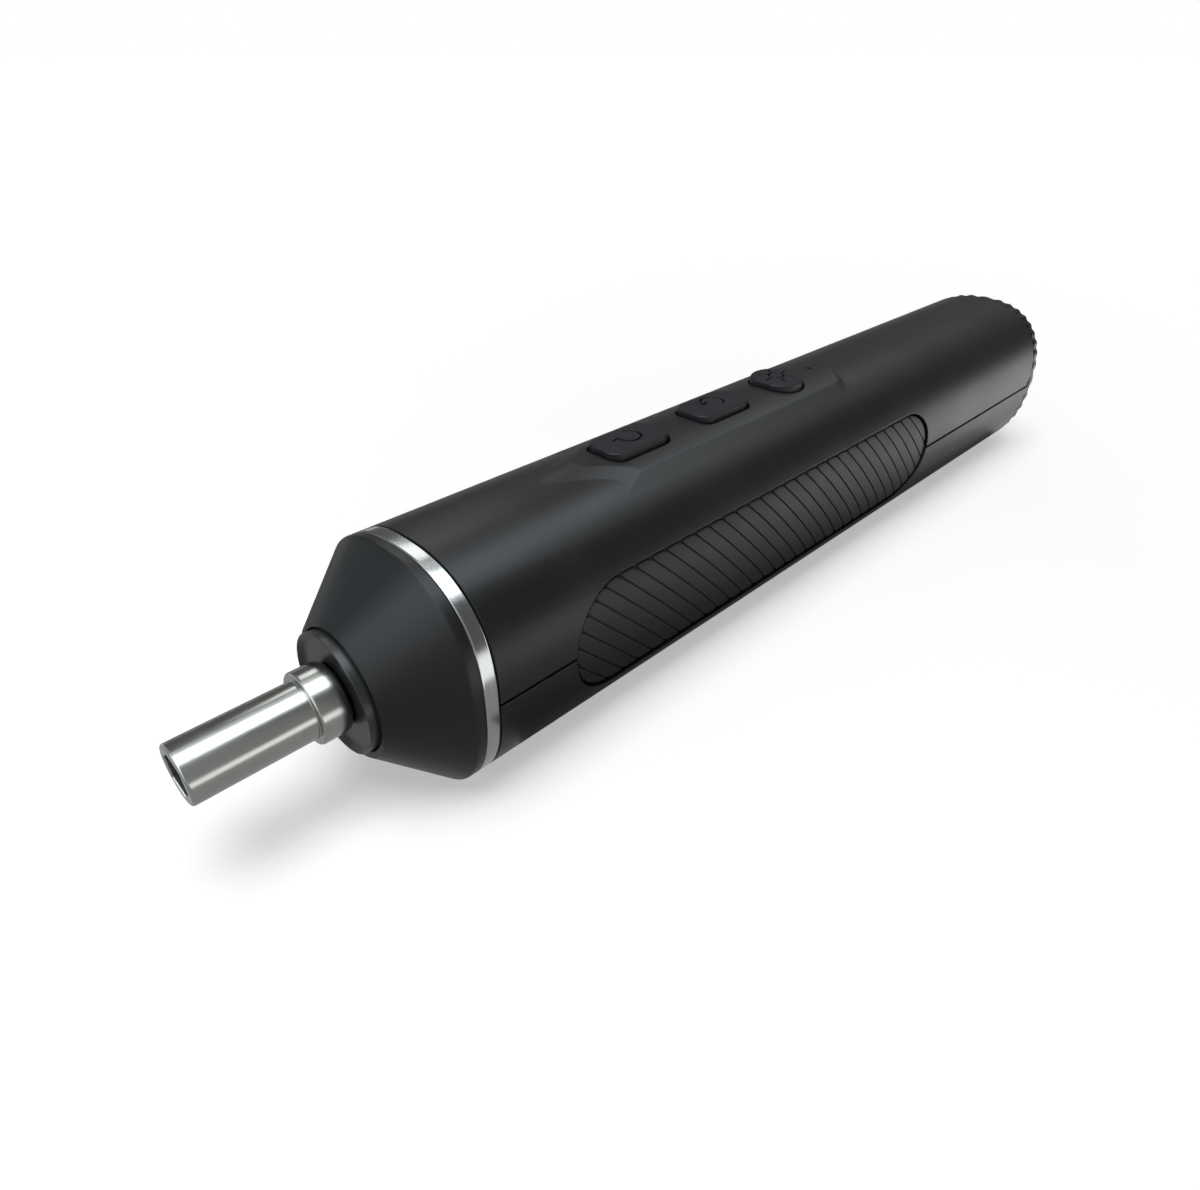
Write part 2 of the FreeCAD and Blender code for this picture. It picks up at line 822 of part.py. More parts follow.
def upper_shell():
    body = half_shell(True)
    add = [web(x, can_r + seat_gap, split_z, 30.0) for x in (motor_x + 6, motor_end - 8)]
    add += [web(x, cell_r + seat_gap, split_z, 11.0) for x in (cell_x + 8, cell_x + 31, cell_x + 54)]
    full = prism(wall - 0.1, shell_x, shell_end)
    for x in boss_xs:
        add += [post(x, y, split_z, 30.0, 3.2).common(full) for y in (-boss_y, boss_y)]
    add += [post(x, y, board_z + board_thick, 30.0, post_r).common(full) for x, y in control_posts]
    body = body.fuse(add)
    clear = [box(board_x0 - 1, board_x1 + 1, -board_half - 0.2, board_half + 0.2, 11.0, board_z + board_thick)]
    front = forward_x - button_len / 2 - button_lip - 1.0
    rear = lamp_x + lamp_r + button_lip + 1.3
    clear.append(box(front, rear, -board_half, board_half, board_z, roof_z))
    clear += button_holes() + [lead_channel(1.0), seam_groove(split_z - 0.01, split_z + seam_half)]
    clear += [grip_pocket(s) for s in (-1, 1)]
    for x in boss_xs:
        clear += [post(x, y, split_z - 1, 8.0, screw_r - 0.25) for y in (-boss_y, boss_y)]
    clear += [post(x, y, board_z, board_z + 4.2, small_r) for x, y in control_posts]
    return body.cut(clear)


def lower_shell():
    body = half_shell(False)
    add = [web(x, can_r + seat_gap, -30.0, split_z) for x in (motor_x + 6, motor_end - 8)]
    add += [web(x, cell_r + seat_gap, -30.0, split_z) for x in (cell_x + 8, cell_x + 31, cell_x + 54)]
    full = prism(wall - 0.1, shell_x, shell_end)
    for x in boss_xs:
        add += [post(x, y, -30.0, split_z, boss_r).common(full) for y in (-boss_y, boss_y)]
    deck = charge_z - board_thick
    add += [post(x, y, -30.0, deck, post_r + 0.4).common(full) for x, y in charge_posts]
    body = body.fuse(add)
    clear = [seam_groove(split_z - seam_half, split_z + 0.01)] + [grip_pocket(s) for s in (-1, 1)]
    for x in boss_xs:
        for y in (-boss_y, boss_y):
            clear.append(post(x, y, -30.0, screw_seat, screw_head_r + 0.3))
            clear.append(post(x, y, screw_seat - 1, 1.0, screw_r + 0.1))
    clear += [post(x, y, charge_z - 4.2, 0.0, small_r) for x, y in charge_posts]
    return body.cut(clear)


def housing_screws():
    screws = []
    for x in boss_xs:
        for y in (-boss_y, boss_y):
            head = post(x, y, screw_seat - screw_head, screw_seat, screw_head_r)
            shank = post(x, y, screw_seat, 7.0, screw_r - 0.25)
            drive = post(x, y, screw_seat - screw_head - 1, screw_seat - 0.9, 0.9)
            screws.append(head.fuse(shank).cut(drive))
    return Part.Compound(screws)


def grip(side):
    (y0, y1), span = grip_bounds(side)
    slab = prism(grip_inset, *span).cut(prism(grip_depth, *span))
    body = slab.common(stadium(0.0, y0, y1))
    core = prism(grip_inset + rib_deep, *span)
    cuts = []
    for k in range(rib_count):
        x = rib_first + k * rib_pitch
        z = 20.0
        p = V(x - rib_slant * (z - 10.0), y0, z)
        q = V(x + rib_slant * (z + 10.0), y0, -z)
        w = V(rib_width, 0, 0)
        face = Part.Face(Part.makePolygon([p, p + w, q + w, q, p]))
        cuts.append(face.extrude(V(0, y1 - y0, 0)).cut(core))
    return body.cut(cuts)


def tail_cap():
    x0 = shell_end + seam
    mid = total_len - 1.3
    count = flutes * 6
    body = Part.Face(section(x0, flute_inset, count, flute_deep)).extrude(V(mid - x0, 0, 0))
    front = section(mid, flute_inset, count, flute_deep)
    rim = Part.makeLoft([front, section(total_len, flute_inset + 1.5, count)], True, True)
    body = above(-belly + flute_inset, body.fuse(rim))
    plug = prism(wall + seat_gap, shell_end - 5.0, x0 + 0.5).cut(prism(wall + 2.0, shell_end - 6, x0))
    return body.fuse(plug).cut(port_plan(0.1, x0 - 1, total_len + 1))


def build():
    nodes = {
        "upper_shell": upper_shell(),
        "lower_shell": lower_shell(),
        "nose_cone": nose_cone(),
        "trim_ring": trim_ring(),
        "tail_cap": tail_cap(),
        "right_grip": grip(1),
        "left_grip": grip(-1),
        "light_lens": light_lens(),
        "light_board": light_board(),
        "light_leds": light_leds(),
        "front_bush": front_bush(),
        "retaining_clip": retaining_clip(),
        "bit_holder": bit_holder(),
        "bit_magnet": bit_magnet(),
        "output_shaft": output_shaft(),
        "stage_2_pins": pins(carrier2_x, planet2_x),
        "carrier_1": carrier_1(),
        "stage_1_pins": pins(carrier1_x, planet1_x),
        "ring_gear": ring_gear(),
        "gear_case": gear_case(),
        "gear_plate": gear_plate(),
        "thrust_washer": thrust_washer(),
        "motor_pinion": motor_pinion(),
        "motor_shaft": motor_shaft(),
        "motor_rotor": motor_rotor(),
        "motor_can": motor_can(),
        "motor_magnets": motor_magnets(),
        "motor_bushes": motor_bushes(),
        "motor_brushes": motor_brushes(),
        "motor_end_cap": motor_end_cap(),
        "motor_terminals": motor_terminals(),
        "motor_screws": motor_screws(),
        "battery_cell": battery_cell(),
        "battery_tabs": battery_tabs(),
        "control_board": control_board(),
        "switch_bodies": switch_bodies(),
        "forward_plunger": plunger(forward_x),
        "reverse_plunger": plunger(reverse_x),
        "lamp_plunger": plunger(lamp_x),
        "forward_button": motion_button(forward_x),
        "reverse_button": motion_button(reverse_x),
        "lamp_button": lamp_button(),
        "indicator_led": indicator_led(),
        "light_pipe": light_pipe(),
        "charge_board": charge_board(),
        "charge_socket": charge_socket(),
        "board_screws": board_screws(),
        "housing_screws": housing_screws(),
        "lamp_leads": lamp_leads(),
        "motor_leads": motor_leads(),
        "battery_leads": battery_leads(),
        "charge_leads": charge_leads(),
    }
    for k, name in enumerate("abc"):
        nodes["planet_1" + name] = planet(planet1_x, 120 * k)
        nodes["planet_2" + name] = planet(planet2_x, 120 * k)
    return nodes


os.makedirs("parts", exist_ok=True)
for node_name, node_shape in build().items():
    node_shape.translate(V(-total_len / 2, 0, belly))
    node_shape.exportStep("parts/" + node_name + ".step")
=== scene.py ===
import json
import math

import bmesh
import bpy
import numpy as np
from bpy.props import FloatProperty, FloatVectorProperty, PointerProperty
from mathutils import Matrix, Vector

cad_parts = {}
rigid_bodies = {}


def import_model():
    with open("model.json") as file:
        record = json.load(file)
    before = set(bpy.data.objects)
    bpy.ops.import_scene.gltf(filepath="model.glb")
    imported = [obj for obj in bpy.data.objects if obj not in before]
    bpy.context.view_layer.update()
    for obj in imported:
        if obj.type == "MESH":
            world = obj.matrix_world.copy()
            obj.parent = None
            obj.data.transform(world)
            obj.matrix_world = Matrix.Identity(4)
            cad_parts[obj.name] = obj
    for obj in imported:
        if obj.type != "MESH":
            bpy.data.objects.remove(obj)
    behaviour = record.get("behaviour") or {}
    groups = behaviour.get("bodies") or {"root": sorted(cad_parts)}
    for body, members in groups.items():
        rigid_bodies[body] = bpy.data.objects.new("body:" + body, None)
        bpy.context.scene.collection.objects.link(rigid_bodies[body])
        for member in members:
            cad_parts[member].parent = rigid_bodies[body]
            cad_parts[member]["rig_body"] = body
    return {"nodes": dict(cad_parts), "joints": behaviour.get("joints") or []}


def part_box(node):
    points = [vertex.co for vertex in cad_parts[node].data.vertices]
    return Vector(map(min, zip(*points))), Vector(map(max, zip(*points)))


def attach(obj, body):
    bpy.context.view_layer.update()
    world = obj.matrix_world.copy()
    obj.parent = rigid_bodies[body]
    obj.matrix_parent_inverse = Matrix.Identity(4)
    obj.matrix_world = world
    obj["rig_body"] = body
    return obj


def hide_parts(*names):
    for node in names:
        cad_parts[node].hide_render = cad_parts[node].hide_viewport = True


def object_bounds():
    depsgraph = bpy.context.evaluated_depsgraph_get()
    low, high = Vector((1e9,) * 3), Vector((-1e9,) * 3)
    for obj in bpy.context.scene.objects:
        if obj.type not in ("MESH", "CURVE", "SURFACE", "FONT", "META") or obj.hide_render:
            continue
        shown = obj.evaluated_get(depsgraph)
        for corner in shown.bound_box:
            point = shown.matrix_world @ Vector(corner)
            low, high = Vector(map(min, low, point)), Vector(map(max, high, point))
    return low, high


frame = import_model()
CAD_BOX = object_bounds()

bl_info = {
    "name": "Cordless Screwdriver Finish",
    "version": (1, 0, 0),
    "blender": (4, 5, 0),
    "location": "View3D > Sidebar > Screwdriver",
    "description": "Dresses a straight cordless screwdriver in moulded, turned and plated surfaces",
    "category": "Object",
}

# Lengths in metres: a millimetre, points that count as one, gaps between sheets on the floor and at the cloth
MM = 0.001
MERGE = 0.5e-6
MAT_LIFT = 0.1 * MM
CARD_GAP = 10 * MM

# Angle between faces from which an edge is shaded as sharp
SHARP = math.radians(32)

# Camera: sensor width in millimetres, width of the picture in pixels, nearest and farthest distance in metres
SENSOR = 36.0
PICTURE_PX = 1200
CLIP = (0.005, 100.0)

# Colours of the lamps and cards
WHITE = (1.0, 1.0, 1.0)
COOL = (0.84, 0.94, 1.0)

# Range that holds most values of a noise texture
NOISE_SPAN = (0.25, 0.75)

# Points and rows of the surfaces
ARC_STEPS = 7
LATHE_COLUMNS = 192
BAND_COLUMNS = 320
RIB_STEPS = 6
STATION_DECIMALS = 9
GRIP_ROWS = 64
BACK_STEP = 8
CORNER_POINTS = 31
RUN_POINTS = (60, 20)
LAMP_POINTS = 280
BLEND_ROWS = 25
SIGN_ROWS = 86
FLOOR_RINGS = 24
FLOOR_COLUMNS = 96

# Radius at which the flat front of the sleeve starts, in mouth radii: just outside the corners of the hexagon
PAST_CORNERS = 1.2

# Signs: number of lamp rays; in degrees, turn of the first ray, ends of each turn arrow, lean of its barbs
RAYS = 6
RAY_TURN = 4
ARROWS = {"forward": (66, -194), "reverse": (-61, 182)}
BARB_LEANS = (-62, 36)


def linear(code):
    """Linear RGBA of an sRGB hex colour such as "1b1c1d"."""
    parts = np.array([int(code[k:k + 2], 16) for k in (0, 2, 4)]) / 255
    lower = parts / 12.92
    upper = ((parts + 0.055) / 1.055) ** 2.4
    return (*np.where(parts <= 0.04045, lower, upper).tolist(), 1.0)


def length(name, millimetres, description):
    """Length property whose default is given in millimetres."""
    return FloatProperty(name=name, description=description, default=millimetres * MM, unit="LENGTH",
                         precision=5)


def number(name, value, description):
    """Plain number property."""
    return FloatProperty(name=name, description=description, default=value, precision=4)


def tint(name, code, description):
    """Colour property whose default is an sRGB hex colour."""
    return FloatVectorProperty(name=name, description=description, default=linear(code), size=4,
                               subtype="COLOR")


def joint_place(name):
    """Point on the axis of a joint, in metres."""
    return next(joint["pos_m"] for joint in frame["joints"] if joint["name"] == name)


AXIS_Z = joint_place("spindle_spin")[2]
TIP_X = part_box("bit_holder")[0].x


class HandleSizes(bpy.types.PropertyGroup):
    """Cross-section of the handle, shared by the trim band and the grips"""

    half_width: length("Half width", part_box("trim_ring")[1].y / MM, "Half of the width of the section")
    crown: length("Crown", (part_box("trim_ring")[1].z - AXIS_Z) / MM, "Height of the section over the axis")
    keel: length("Keel", 22.4, "Depth of the section under the axis, before the flat")
    belly: length("Belly", (AXIS_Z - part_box("trim_ring")[0].z) / MM, "Depth of the flat under the axis")
    power: number("Power", 2.45, "Exponent of the rounded-square section")
    band_wall: length("Band wall", 2.22, "Thickness of the trim band")
    band_round: length("Band rounding", 0.45, "Radius of the trim band's outer edges")


class NoseSizes(bpy.types.PropertyGroup):
    """Sleeve, collar and light ring, measured from the tip"""

    hex_flats: length("Hexagon", 6.42, "Width of the socket across flats")
    hex_turn: FloatProperty(name="Hexagon turn", description="Turn of the socket about the axis",
                            default=math.radians(20.0), subtype="ANGLE")
    lead_in: length("Lead-in", 0.15, "Bevel at the mouth of the socket")
    sleeve_r: length("Sleeve radius", 4.96, "Outer radius of the sleeve")
    collar_r: length("Collar radius", 6.2, "Outer radius of the collar")
    collar_x: length("Collar place", 19.4, "Front of the collar")
    collar_len: length("Collar length", 5.45, "Length of the collar")
    neck_r: length("Neck radius", 4.6, "Radius behind the collar")
    socket_deep: length("Socket depth", 13.0, "Depth of the hexagon socket")
    pocket_deep: length("Pocket depth", 15.0, "Depth of the magnet's pocket")
    pocket_r: length("Pocket radius", 2.855, "Radius of the magnet's pocket")
    bore_r: length("Bore radius", 3.0, "Radius of the shaft's bore")
    bore_start: length("Bore place", 15.6, "Front end of the shaft's bore")
    tip_round: length("Tip rounding", 0.45, "Radius of the front edges of sleeve and collar")
    collar_round: length("Collar rounding", 1.5, "Radius of the rear edge of the collar")
    broken_edge: length("Broken edge", 0.12, "Radius of the small edges")
    lens_rim: length("Lens rim", 0.25, "Width of the flat rim of the light ring")
    lens_dish: length("Lens dish", 0.7, "Depth of the dish in the light ring")
    lens_slope: length("Lens slope", 0.8, "Width of the sloped wall of the dish")
    lens_plate: length("Lens plate", 0.8, "Thickness of the floor of the dish")
    lens_skirt: length("Lens skirt", 1.1, "Thickness of the skirt behind the rim")
    lens_bore: length("Lens bore", 5.3, "Radius of the hole in the light ring")


class GripSizes(bpy.types.PropertyGroup):
    """Ribbed side grips"""

    inset: length("Inset", 0.45, "Depth of the grip's face under the handle's surface")
    depth: length("Depth", 2.6, "Depth of the grip's back under the handle's surface")
    pitch: length("Rib pitch", 4.033, "Spacing of the ribs along the handle")
    first: length("First groove", 53.54, "Groove number 0, from the tip, at the level of the slant")
    level: length("Slant level", 10.0, "Height over the axis at which the grooves are numbered")
    slant: number("Slant", 1.03, "Run of a groove along the handle per unit of height")
    groove: length("Groove width", 0.12, "Width of the floor of a groove between two ribs")
    groove_deep: length("Groove depth", 0.35, "Depth of a groove between two ribs")
    edge: length("Rib edge", 0.16, "Width of the rounded edge of a rib")
    rim: length("Rim", 0.42, "Width of the rounded ends of the ribs along the outline")
    corner: length("Rib corner", 0.45, "Radius of the corners of a rib")


class KeySizes(bpy.types.PropertyGroup):
    """Two turn keys and the lamp key"""

    lip: length("Lip", 1.1, "Reach of the lip that holds a key under the roof")
    lip_thick: length("Lip thickness", 1.0, "Thickness of that lip")
    corner: length("Corner", 3.1, "Corner radius of a turn key")
    rise: length("Rise", 1.3, "Height of a key's top over the pad beside it")
    draft: length("Draft", 0.12, "Lean of a key's wall over its rise")
    bevel: length("Bevel", 0.14, "Width and height of the bevel around a key's top")
    lamp_r: length("Lamp key radius", 5.9, "Radius of the round key")
    lamp_flat: length("Lamp key flat", 5.5, "Distance from its centre to its flat front")
    stroke: length("Stroke", 0.5, "Width of an engraved line")
    engrave: length("Engraving", 0.55, "Depth of an engraved line")
    engrave_wall: length("Engraving wall", 0.1, "Width of the sloped walls of an engraved line")
    sign_aside: length("Sign place", 0.8, "Sideways place of the engraved signs")
    arrow_x: length("Arrow place", 0.65, "Place of a turn arrow behind the key's centre")
    arrow_r: length("Arrow radius", 2.45, "Radius of the turn arrows")
    arrow_barb: length("Arrow barb", 1.5, "Length of the two strokes of an arrow head")
    arrow_zone: length("Arrow zone", 2.9, "Radius of the finely divided disc around a turn arrow")
    lamp_sign_x: length("Lamp sign place", 0.85, "Place of the lamp sign behind the key's centre")
    lamp_sign_r: length("Lamp sign radius", 1.65, "Radius of the ring in the lamp sign")
    ray_start: length("Ray start", 2.4, "Inner end of a ray of the lamp sign")
    ray_end: length("Ray end", 3.85, "Outer end of a ray of the lamp sign")
    lamp_zone: length("Lamp sign zone", 3.9, "Radius of the finely divided disc around the lamp sign")


class Tints(bpy.types.PropertyGroup):
    """Colours of the finishes that show"""

    shell: tint("Shell", "17181a", "Moulded shells, cone and tail")
    shell_worn: tint("Shell, handled", "1d1e1f", "Paler clouds on the shells")
    rubber: tint("Rubber", "17181a", "Grip rubber")
    rubber_dust: tint("Rubber, dusty", "1e1f20", "Paler clouds on the grip rubber")
    key: tint("Key", "15161a", "Keys")
    key_worn: tint("Key, handled", "1d1e21", "Paler clouds on the keys")
    band: tint("Band", "aeb0b0", "Trim band")
    band_dull: tint("Band, dull", "a4a6a6", "Duller streaks on the trim band")
    sleeve: tint("Sleeve", "acaeaa", "Plated sleeve")
    sleeve_dull: tint("Sleeve, dull", "a0a29e", "Duller clouds on the sleeve")
    lens: tint("Light ring", "292b2c", "Smoked light ring")
    floor: tint("Floor", "d2d2d2", "Floor, which shines through a little")


class StageSizes(bpy.types.PropertyGroup):
    """Camera, lamps and floor"""

    camera: FloatVectorProperty(name="Camera", description="Place of the camera", unit="LENGTH",
                                default=(-0.1403, -0.09904, 0.10644))
    aim: FloatVectorProperty(name="Aim", description="Viewing direction", default=(0.587, 0.587, -0.558))
    focal_px: number("Focal length", 823.154, "Focal length in pixels of a 1200 pixel wide picture")
    floor_r: length("Floor radius", 9000.0, "Radius of the floor")
    floor_near: length("Floor glow start", 100.0, "Distance up to which the floor glows least")
    floor_far: length("Floor glow end", 900.0, "Distance from which on the floor glows most")
    floor_dim: number("Floor glow near", 0.43, "Glow of the floor under the tool")
    floor_glow: number("Floor glow far", 0.9, "Glow of the floor far away")
    box_high: length("Softbox height", 900.0, "Height of the overhead softbox and of the key lamp")
    box_wide: length("Softbox width", 550.0, "Width of the overhead softbox")
    box_long: length("Softbox length", 2100.0, "Length of the overhead softbox")
    box_x: length("Softbox place along", -450.0, "Place of the overhead softbox along the handle")
    box_aside: length("Softbox place", -85.0, "Sideways place of the overhead softbox")
    box_glow: number("Softbox radiance", 4.1, "Radiance of the overhead softbox")
    rear_long: length("Rear softbox length", 470.0, "Length of the softbox that carries on behind the first")
    rear_wide: length("Rear softbox width", 240.0, "Width of the softbox behind the first")
    rear_aside: length("Rear softbox place", 150.0, "Sideways place of the softbox behind the first")
    rear_glow: number("Rear softbox radiance", 2.7, "Radiance of the softbox behind the first")
    key_size: length("Key lamp size", 600.0, "Width and length of the key lamp")
    key_x: length("Key lamp place along", -220.0, "Place of the key lamp along the handle")
    key_y: length("Key lamp place", -80.0, "Sideways place of the key lamp")
    key_glow: number("Key lamp radiance", 6.4, "Radiance of the key lamp")
    side_box: FloatVectorProperty(name="Side softbox", description="Place of the small side softbox",
                                  unit="LENGTH", default=(0.2, 0.5, 0.53))
    side_size: length("Side softbox size", 260.0, "Width and height of the small side softbox")
    side_glow: number("Side softbox radiance", 2.3, "Radiance of the small side softbox")
    wall_x: length("Cloth length", 1600.0, "Distance of the grey cloth at both ends")
    wall_y: length("Cloth width", 600.0, "Distance of the grey cloth on both sides")
    wall_high: length("Cloth height", 1080.0, "Height of the grey cloth")
    cloth_glow: number("Cloth radiance", 0.16, "Radiance of the grey cloth")
    # Painted shade: the grey mat and its darker middle are sheets seen only in reflections, standing in for
    # the tool's shadow on the floor
    floor_shade_glow: number("Mat radiance", 0.45, "Radiance of the grey mat on the floor")
    shade_glow: number("Shade radiance", 0.1, "Radiance of the dark middle of the mat, close to the handle")
    shade_start: length("Shade place", 51.0, "Front end of the dark middle, from the tip")
    shade_front: length("Shade width", 36.0, "Half width of the dark middle at its front end")
    shade_rear: length("Shade width at the rear", 21.0, "Half width of the dark middle at the tail")
    front_far: length("Front card place", 1000.0, "Distance of the pale cards in front of the tip")
    front_low: length("Front card foot", 420.0, "Height at which the brighter card in front begins")
    front_glow: number("Front card radiance", 2.6, "Radiance of the upper card in front")
    foot_glow: number("Lower card radiance", 1.4, "Radiance of the lower card in front")
    left_glow: number("Left card radiance", 0.4, "Radiance of the card on the left of the sleeve")
    left_stop: length("Left card end", 100.0, "Rear end of the card on the left")
    right_glow: number("Right card radiance", 0.55, "Radiance of the card on the right of the sleeve")
    right_stop: length("Right card end", -200.0, "Rear end of the card on the right")
    strip_near: length("Strip place", 66.0, "Inner edge of the strips beside the tool's front")
    strip_rear: length("Strip place at the rear", 34.0, "Inner edge of the strips beside the tool's rear")
    strip_far: length("Strip end", 280.0, "Outer edge of the strips on the floor")
    strip_stop: length("Strip rear", 500.0, "Rear end of the strips on the floor")
    strip_glow: number("Strip radiance", 2.0, "Radiance of the lit strip on the left")
    dim_glow: number("Dim strip radiance", 0.2, "Radiance of the dim strip on the right")
    room_light: number("Room light", 0.18, "Strength of the room as a light")


def add(tree, kind, settings=None, **sockets):
    """Adds a node; settings are its properties, sockets are values or other nodes' outputs.

    A socket goes by its name with _ for spaces, or by its number after an i.
    """
    node = tree.nodes.new(kind)
    for name, value in (settings or {}).items():
        setattr(node, name, value)
    for name, value in sockets.items():
        numbered = name[0] == "i" and name[1:].isdigit()
        socket = node.inputs[int(name[1:]) if numbered else name.replace("_", " ")]
        if isinstance(value, bpy.types.NodeSocket):
            tree.links.new(value, socket)
        else:
            socket.default_value = value
    return node


def blank(name):
    """New material with an empty node tree."""
    material = bpy.data.materials.new(name)
    material.use_nodes = True
    material.node_tree.nodes.clear()
    return material


def finish(name, light, dark, roughness, spread, grain, deep, cloud, soft=0.0, **shader):
    """Material whose colour and gloss drift in soft clouds over a fine grain.

    grain and cloud are (x, y, z) sizes in millimetres, deep is the grain's height in millimetres,
    roughness drifts by plus or minus spread, and soft rounds hard edges by that many millimetres.
    """
    material = blank(name)
    tree = material.node_tree
    place = add(tree, "ShaderNodeTexCoord").outputs["Object"]
    wide = add(tree, "ShaderNodeMapping", Vector=place, Scale=[1 / (size * MM) for size in cloud])
    drift = add(tree, "ShaderNodeTexNoise", Vector=wide.outputs["Vector"], Scale=1.0, Detail=3.0,
                Roughness=0.55)
    blend = add(tree, "ShaderNodeMix", {"data_type": "RGBA"}, Factor=drift.outputs["Fac"], i6=dark, i7=light)
    gloss = add(tree, "ShaderNodeMapRange", Value=drift.outputs["Fac"], From_Min=NOISE_SPAN[0],
                From_Max=NOISE_SPAN[1], To_Min=roughness - spread, To_Max=roughness + spread)
    close = add(tree, "ShaderNodeMapping", Vector=place, Scale=[1 / (size * MM) for size in grain])
    fine = add(tree, "ShaderNodeTexNoise", Vector=close.outputs["Vector"], Scale=1.0, Detail=2.0)
    bump = add(tree, "ShaderNodeBump", Height=fine.outputs["Fac"], Strength=1.0, Distance=deep * MM)
    if soft:
        edge = add(tree, "ShaderNodeBevel", {"samples": 6}, Radius=soft * MM)
        tree.links.new(edge.outputs["Normal"], bump.inputs["Normal"])
    surface = add(tree, "ShaderNodeBsdfPrincipled", Normal=bump.outputs["Normal"],
                  Base_Color=blend.outputs[2], Roughness=gloss.outputs["Result"], **shader)
    add(tree, "ShaderNodeOutputMaterial", Surface=surface.outputs["BSDF"])
    return material


def even(size):
    """The same size along all three directions."""
    return (size, size, size)


# Real grains of mould and plating are mostly under 0.1 mm, too fine to show, so grains here are drawn coarser
def moulded_abs(tints):
    """Moulded ABS with a fine spark-eroded skin: a satin black that greys where light strikes it flat."""
    return finish("Moulded ABS, spark-eroded satin", tints.shell_worn, tints.shell, 0.36, 0.03,
                  even(0.3), 0.0016, even(14.0), soft=0.35, Specular_IOR_Level=0.24)


def moulded_rubber(tints):
    """Moulded thermoplastic rubber: duller than the shells, with a faint dusty bloom."""
    return finish("Moulded thermoplastic rubber", tints.rubber_dust, tints.rubber, 0.46, 0.04,
                  even(0.35), 0.003, even(9.0), Specular_IOR_Level=0.24)


def moulded_key(tints):
    """Moulded ABS keys: satin as the shells, in a slightly cooler black."""
    return finish("Moulded ABS, fine satin", tints.key_worn, tints.key, 0.38, 0.03,
                  even(0.3), 0.0015, even(6.0), Specular_IOR_Level=0.24)


def turned_aluminium(tints):
    """Turned and clear-anodised aluminium: a bright band with soft streaks around it and a fine grain."""
    return finish("Turned aluminium, clear anodised", tints.band, tints.band_dull, 0.17, 0.03,
                  even(0.2), 0.003, (0.5, 20.0, 20.0), Metallic=1.0)


def plated_steel(tints):
    """Turned steel under satin nickel: soft bright reflections with a faint speckle."""
    return finish("Turned steel, satin nickel plate", tints.sleeve, tints.sleeve_dull, 0.2, 0.03,
                  even(0.26), 0.0055, even(7.0), Metallic=1.0)


def smoked_polycarbonate(tints):
    """Moulded smoked polycarbonate: nearly black, with soft reflections on rim and dish."""
    return finish("Smoked polycarbonate, moulded", tints.lens, tints.lens, 0.3, 0.03,
                  even(1.5), 0.0005, even(8.0), Specular_IOR_Level=0.35)


def smoked_acrylic():
    """Moulded smoked acrylic: a black dot that hardly reflects, as light sinks into the pipe."""
    return finish("Smoked acrylic, moulded", linear("0b0b0c"), linear("08080a"), 0.3, 0.02,
                  even(1.0), 0.0005, even(2.0), Specular_IOR_Level=0.05)


# Finishes of the pieces inside and of the small fittings: name, light and dark colour, metallic, roughness,
# its spread, grain and cloud sizes in millimetres and the grain's height in millimetres
FITTINGS = {
    # Plated, ground and drawn metals: bright greys with soft reflections
    "magnet_nickel": ("Neodymium, nickel plate", "c8c6bf", "b3b1aa", 1.0, 0.2, 0.04, 0.6, 3.0, 0.001),
    "shaft_steel": ("Ground tool steel", "b4b5b6", "9c9d9f", 1.0, 0.26, 0.05, 0.2, 4.0, 0.001),
    "can_steel": ("Drawn steel, zinc plate", "b9bcbd", "a4a7aa", 1.0, 0.3, 0.05, 0.5, 8.0, 0.001),
    "tab_nickel": ("Rolled nickel strip", "c9c6bc", "b6b3aa", 1.0, 0.28, 0.05, 0.4, 3.0, 0.001),
    "port_steel": ("Stamped stainless steel", "a9abac", "96989a", 1.0, 0.3, 0.05, 0.3, 3.0, 0.001),
    # Sintered and cast metals: duller, with a visible grain
    "gear_steel": ("Sintered gear steel", "8d8c89", "737270", 1.0, 0.42, 0.06, 0.25, 3.0, 0.004),
    "case_alloy": ("Die-cast zinc alloy", "a3a5a6", "8c8e90", 1.0, 0.45, 0.06, 0.8, 6.0, 0.006),
    "bush_bronze": ("Sintered bronze", "b0844f", "966c3c", 1.0, 0.4, 0.06, 0.2, 2.0, 0.004),
    # Copper and brass: warm spots among the greys
    "rotor_iron": ("Lacquered copper and lamination steel", "8a5a37", "6f4a31", 0.6, 0.4, 0.08, 0.35, 2.5,
                   0.01),
    "brush_brass": ("Stamped brass", "c2a052", "a88743", 1.0, 0.32, 0.05, 0.4, 4.0, 0.001),
    # Blackened screws and magnets: nearly black, with a faint sheen
    "screw_zinc": ("Rolled steel, black zinc", "4b4c50", "38393c", 1.0, 0.35, 0.06, 0.3, 1.5, 0.002),
    "arc_ferrite": ("Pressed ferrite", "3a3b3d", "2c2d2f", 0.0, 0.55, 0.08, 0.3, 3.0, 0.006),
    # Plastics: even colours with a soft sheen
    "cap_nylon": ("Moulded nylon", "d6d2c6", "c6c2b6", 0.0, 0.45, 0.04, 0.4, 6.0, 0.003),
    "cell_sleeve": ("Heat-shrunk PVC sleeve", "2f6fa5", "285f90", 0.0, 0.32, 0.04, 1.2, 18.0, 0.004),
    "board_green": ("Solder-masked fibreglass", "1f6a3a", "185830", 0.0, 0.36, 0.05, 0.5, 5.0, 0.006),
    "led_white": ("Moulded diode with phosphor", "f0e9b8", "e4dca4", 0.0, 0.4, 0.05, 0.4, 2.0, 0.002),
    "lead_red": ("Extruded PVC insulation", "a8201c", "8e1a18", 0.0, 0.42, 0.04, 0.5, 6.0, 0.002),
}


